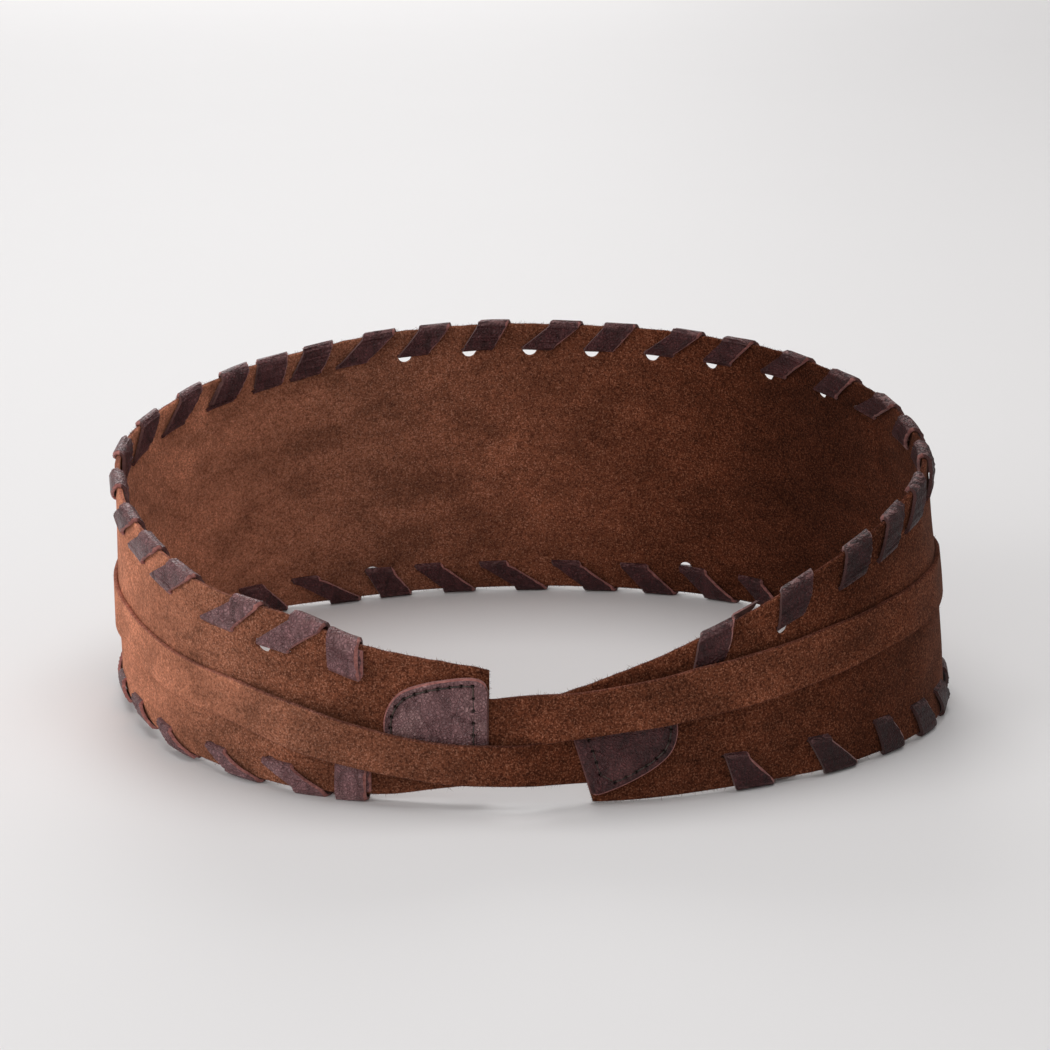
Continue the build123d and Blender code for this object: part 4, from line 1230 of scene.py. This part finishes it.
def lace_leather():
    """Lace grain, with a stretched, scuffed and creased look where it folds over the edge."""
    material, tree, shader, colour = grain_leather(
        "lace_grain", (0.030, 0.0105, 0.011), (0.105, 0.042, 0.044), (0.23, 0.115, 0.115), 1200.0, 0.4)
    crease = noise(tree, 700.0, 3.0, 0.7, stretch=(0.5, 0.5, 1.8), distortion=1.2)
    worn = math(tree, "MULTIPLY", remap(tree, crease, 0.48, 0.6), vertex_value(tree, "fold"))
    colour = mix(tree, math(tree, "MULTIPLY", worn, 0.6), colour, (0.30, 0.15, 0.145))
    tree.links.new(colour, shader.inputs["Base Color"])
    return material


def patch_leather():
    """Patch grain, with painted shade in the needle holes."""
    material, tree, shader, colour = grain_leather(
        "patch_grain", (0.028, 0.010, 0.0105), (0.10, 0.042, 0.043), (0.23, 0.12, 0.115), 1250.0, 0.36)
    # near-black painted shade in the needle holes
    colour = mix(tree, vertex_value(tree, "pit"), colour, (0.004, 0.0025, 0.0025))
    tree.links.new(colour, shader.inputs["Base Color"])
    return material


def raw_leather(name, dark, light, scale):
    """Unfinished cut edge or flesh side."""
    material, tree, shader = new_material(name, 0.85)
    tone = noise(tree, scale, 3.0, 0.65)
    colour = mix(tree, remap(tree, tone, 0.3, 0.7), dark, light)
    if name == "raw_cut_edge":
        # the cut edges of laces and patches take painted light and shade from a vertex value
        colour = mix(tree, vertex_value(tree, "raw"), (0.03, 0.012, 0.012), colour)
    tree.links.new(colour, shader.inputs["Base Color"])
    shader.inputs["Specular IOR Level"].default_value = 0.15
    shader.inputs["Sheen Weight"].default_value = 0.2
    bump(tree, shader, ((noise(tree, scale * 1.5, 2.0, 0.6), 0.6, 0.12),))
    return material


def thread_material():
    material, tree, shader = new_material("sewing_thread", 0.55)
    twist = noise(tree, 1800.0, 2.0, 0.5, stretch=(1.0, 1.0, 0.35))
    tone = mix(tree, remap(tree, twist, 0.35, 0.65), (0.010, 0.0065, 0.005), (0.07, 0.045, 0.034))
    tree.links.new(tone, shader.inputs["Base Color"])
    bump(tree, shader, ((twist, 0.6, 0.08),))
    return material


def floor_material():
    material, tree, shader = new_material("studio_floor", 0.6)
    tone = noise(tree, 9.0, 2.0, 0.5)
    lighter = tuple(c * 1.012 for c in FLOOR_TONE)
    tree.links.new(mix(tree, tone, FLOOR_TONE, lighter), shader.inputs["Base Color"])
    shader.inputs["Specular IOR Level"].default_value = 0.15
    bump(tree, shader, ((noise(tree, 900.0, 2.0, 0.5), 0.05, 0.05),))
    return material


FLOOR_TONE = (0.745, 0.732, 0.733)
SUEDE = suede("suede_nap", (1.0, 1.0, 1.0))
SUEDE_CUT = suede("suede_cut_edge", (0.80, 0.80, 0.95))
# lighter and whiter copy of the suede for the lace-hole rims: painted light on the cut walls
SUEDE_PAINTED_LIGHT_RIM = suede("suede_hole_rim_painted_light", (2.2, 2.4, 2.4))
LACE = lace_leather()
PATCH = patch_leather()
RAW_EDGE = raw_leather("raw_cut_edge", (0.20, 0.065, 0.058), (0.46, 0.19, 0.165), 1200.0)
FLESH = raw_leather("flesh_side", (0.05, 0.02, 0.018), (0.13, 0.06, 0.05), 700.0)
THREAD = thread_material()


# ---------------- studio
def camera():
    data = bpy.data.cameras.new("camera")
    data.sensor_width = SENSOR
    data.lens = CAMERA_LENS
    data.clip_start = 0.01
    data.clip_end = 50.0
    eye = bpy.data.objects.new("camera", data)
    eye.location = Vector(CAMERA_PLACE) * MM
    eye.rotation_euler = (radians(CAMERA_TILT), 0.0, 0.0)
    bpy.context.scene.collection.objects.link(eye)
    bpy.context.scene.camera = eye


def floor():
    """Large floor that curves up into a backdrop far behind the object."""
    width, front, bend, radius, top = 9.0, -5.0, 2.6, 2.0, 3.0
    profile = [(y, 0.0) for y in np.linspace(front, bend, 24)]
    for a in np.linspace(0, pi / 2, 20)[1:]:
        profile.append((bend + radius * sin(a), radius * (1 - cos(a))))
    profile.append((bend + radius, radius + top))
    y, z = np.array(profile).T
    x = np.linspace(-width, width, 31)
    grid = np.stack(np.broadcast_arrays(x[None, :], y[:, None], z[:, None]), -1) / MM
    build = Builder()
    build.grid(build.add(grid))
    sheet = build.finish("studio_floor", [floor_material()])


def area_light(name, place, aim, size, power):
    data = bpy.data.lights.new(name, "AREA")
    data.shape = "RECTANGLE"
    data.size, data.size_y = size
    data.energy = power
    lamp = bpy.data.objects.new(name, data)
    lamp.location = place
    lamp.rotation_euler = (Vector(aim) - Vector(place)).to_track_quat("-Z", "Y").to_euler()
    bpy.context.scene.collection.objects.link(lamp)


def studio():
    floor()
    area_light("key_light", (-1.25, -0.55, 0.62), (0.0, 0.0, 0.03), (0.9, 0.9), 7.5)
    area_light("top_light", (0.0, 0.3, 1.7), (0.0, 0.1, 0.0), (1.6, 1.2), 17.0)
    area_light("backdrop_light", (-0.4, 2.7, 1.1), (-0.1, 1.7, 0.0), (1.6, 1.6), 27.0)
    area_light("front_light", (-0.4, -1.5, 1.1), (0.0, 0.0, 0.03), (0.9, 0.9), 3.0)
    world = bpy.data.worlds.new("studio_world")
    world.use_nodes = True
    sky = world.node_tree.nodes["Background"]
    sky.inputs["Color"].default_value = (1.0, 0.99, 0.985, 1.0)
    sky.inputs["Strength"].default_value = 0.3
    bpy.context.scene.world = world
    bpy.context.scene.view_settings.view_transform = "Standard"


# ---------------- assembly
def settle(piece, node):
    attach(piece, "root")
    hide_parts(node)


camera()
studio()
settle(suede_band(), "suede_band")
for node, piece in laces().items():
    settle(piece, node)
patches = (("left", LEFT_PATCH_AT, 1, False, 19.6), ("right", RIGHT_PATCH_AT, -1, True, 10.3))
for side, place, into, square, strap_z in patches:
    skin = patch_skin(f"{side}_end_patch_skin", place, into, square, strap_z)
    settle(skin, f"{side}_end_patch")
for side, place, into, square, _ in patches:
    thread = patch_thread(f"{side}_patch_stitching", place, into, square)
    settle(thread, f"{side}_patch_thread")
for side, root, run, travel, nap_and_painted_light_profile in (
        ("left", LEFT_ROOT, LEFT_STRAP_RUN, -1, LEFT_STRAP_NAP_AND_PAINTED_LIGHT),
        ("right", RIGHT_ROOT, RIGHT_STRAP_RUN, 1, RIGHT_STRAP_NAP_AND_PAINTED_LIGHT)):
    settle(strap_skin(f"{side}_tie_strap_skin", root, run, travel, nap_and_painted_light_profile), f"{side}_tie_strap")
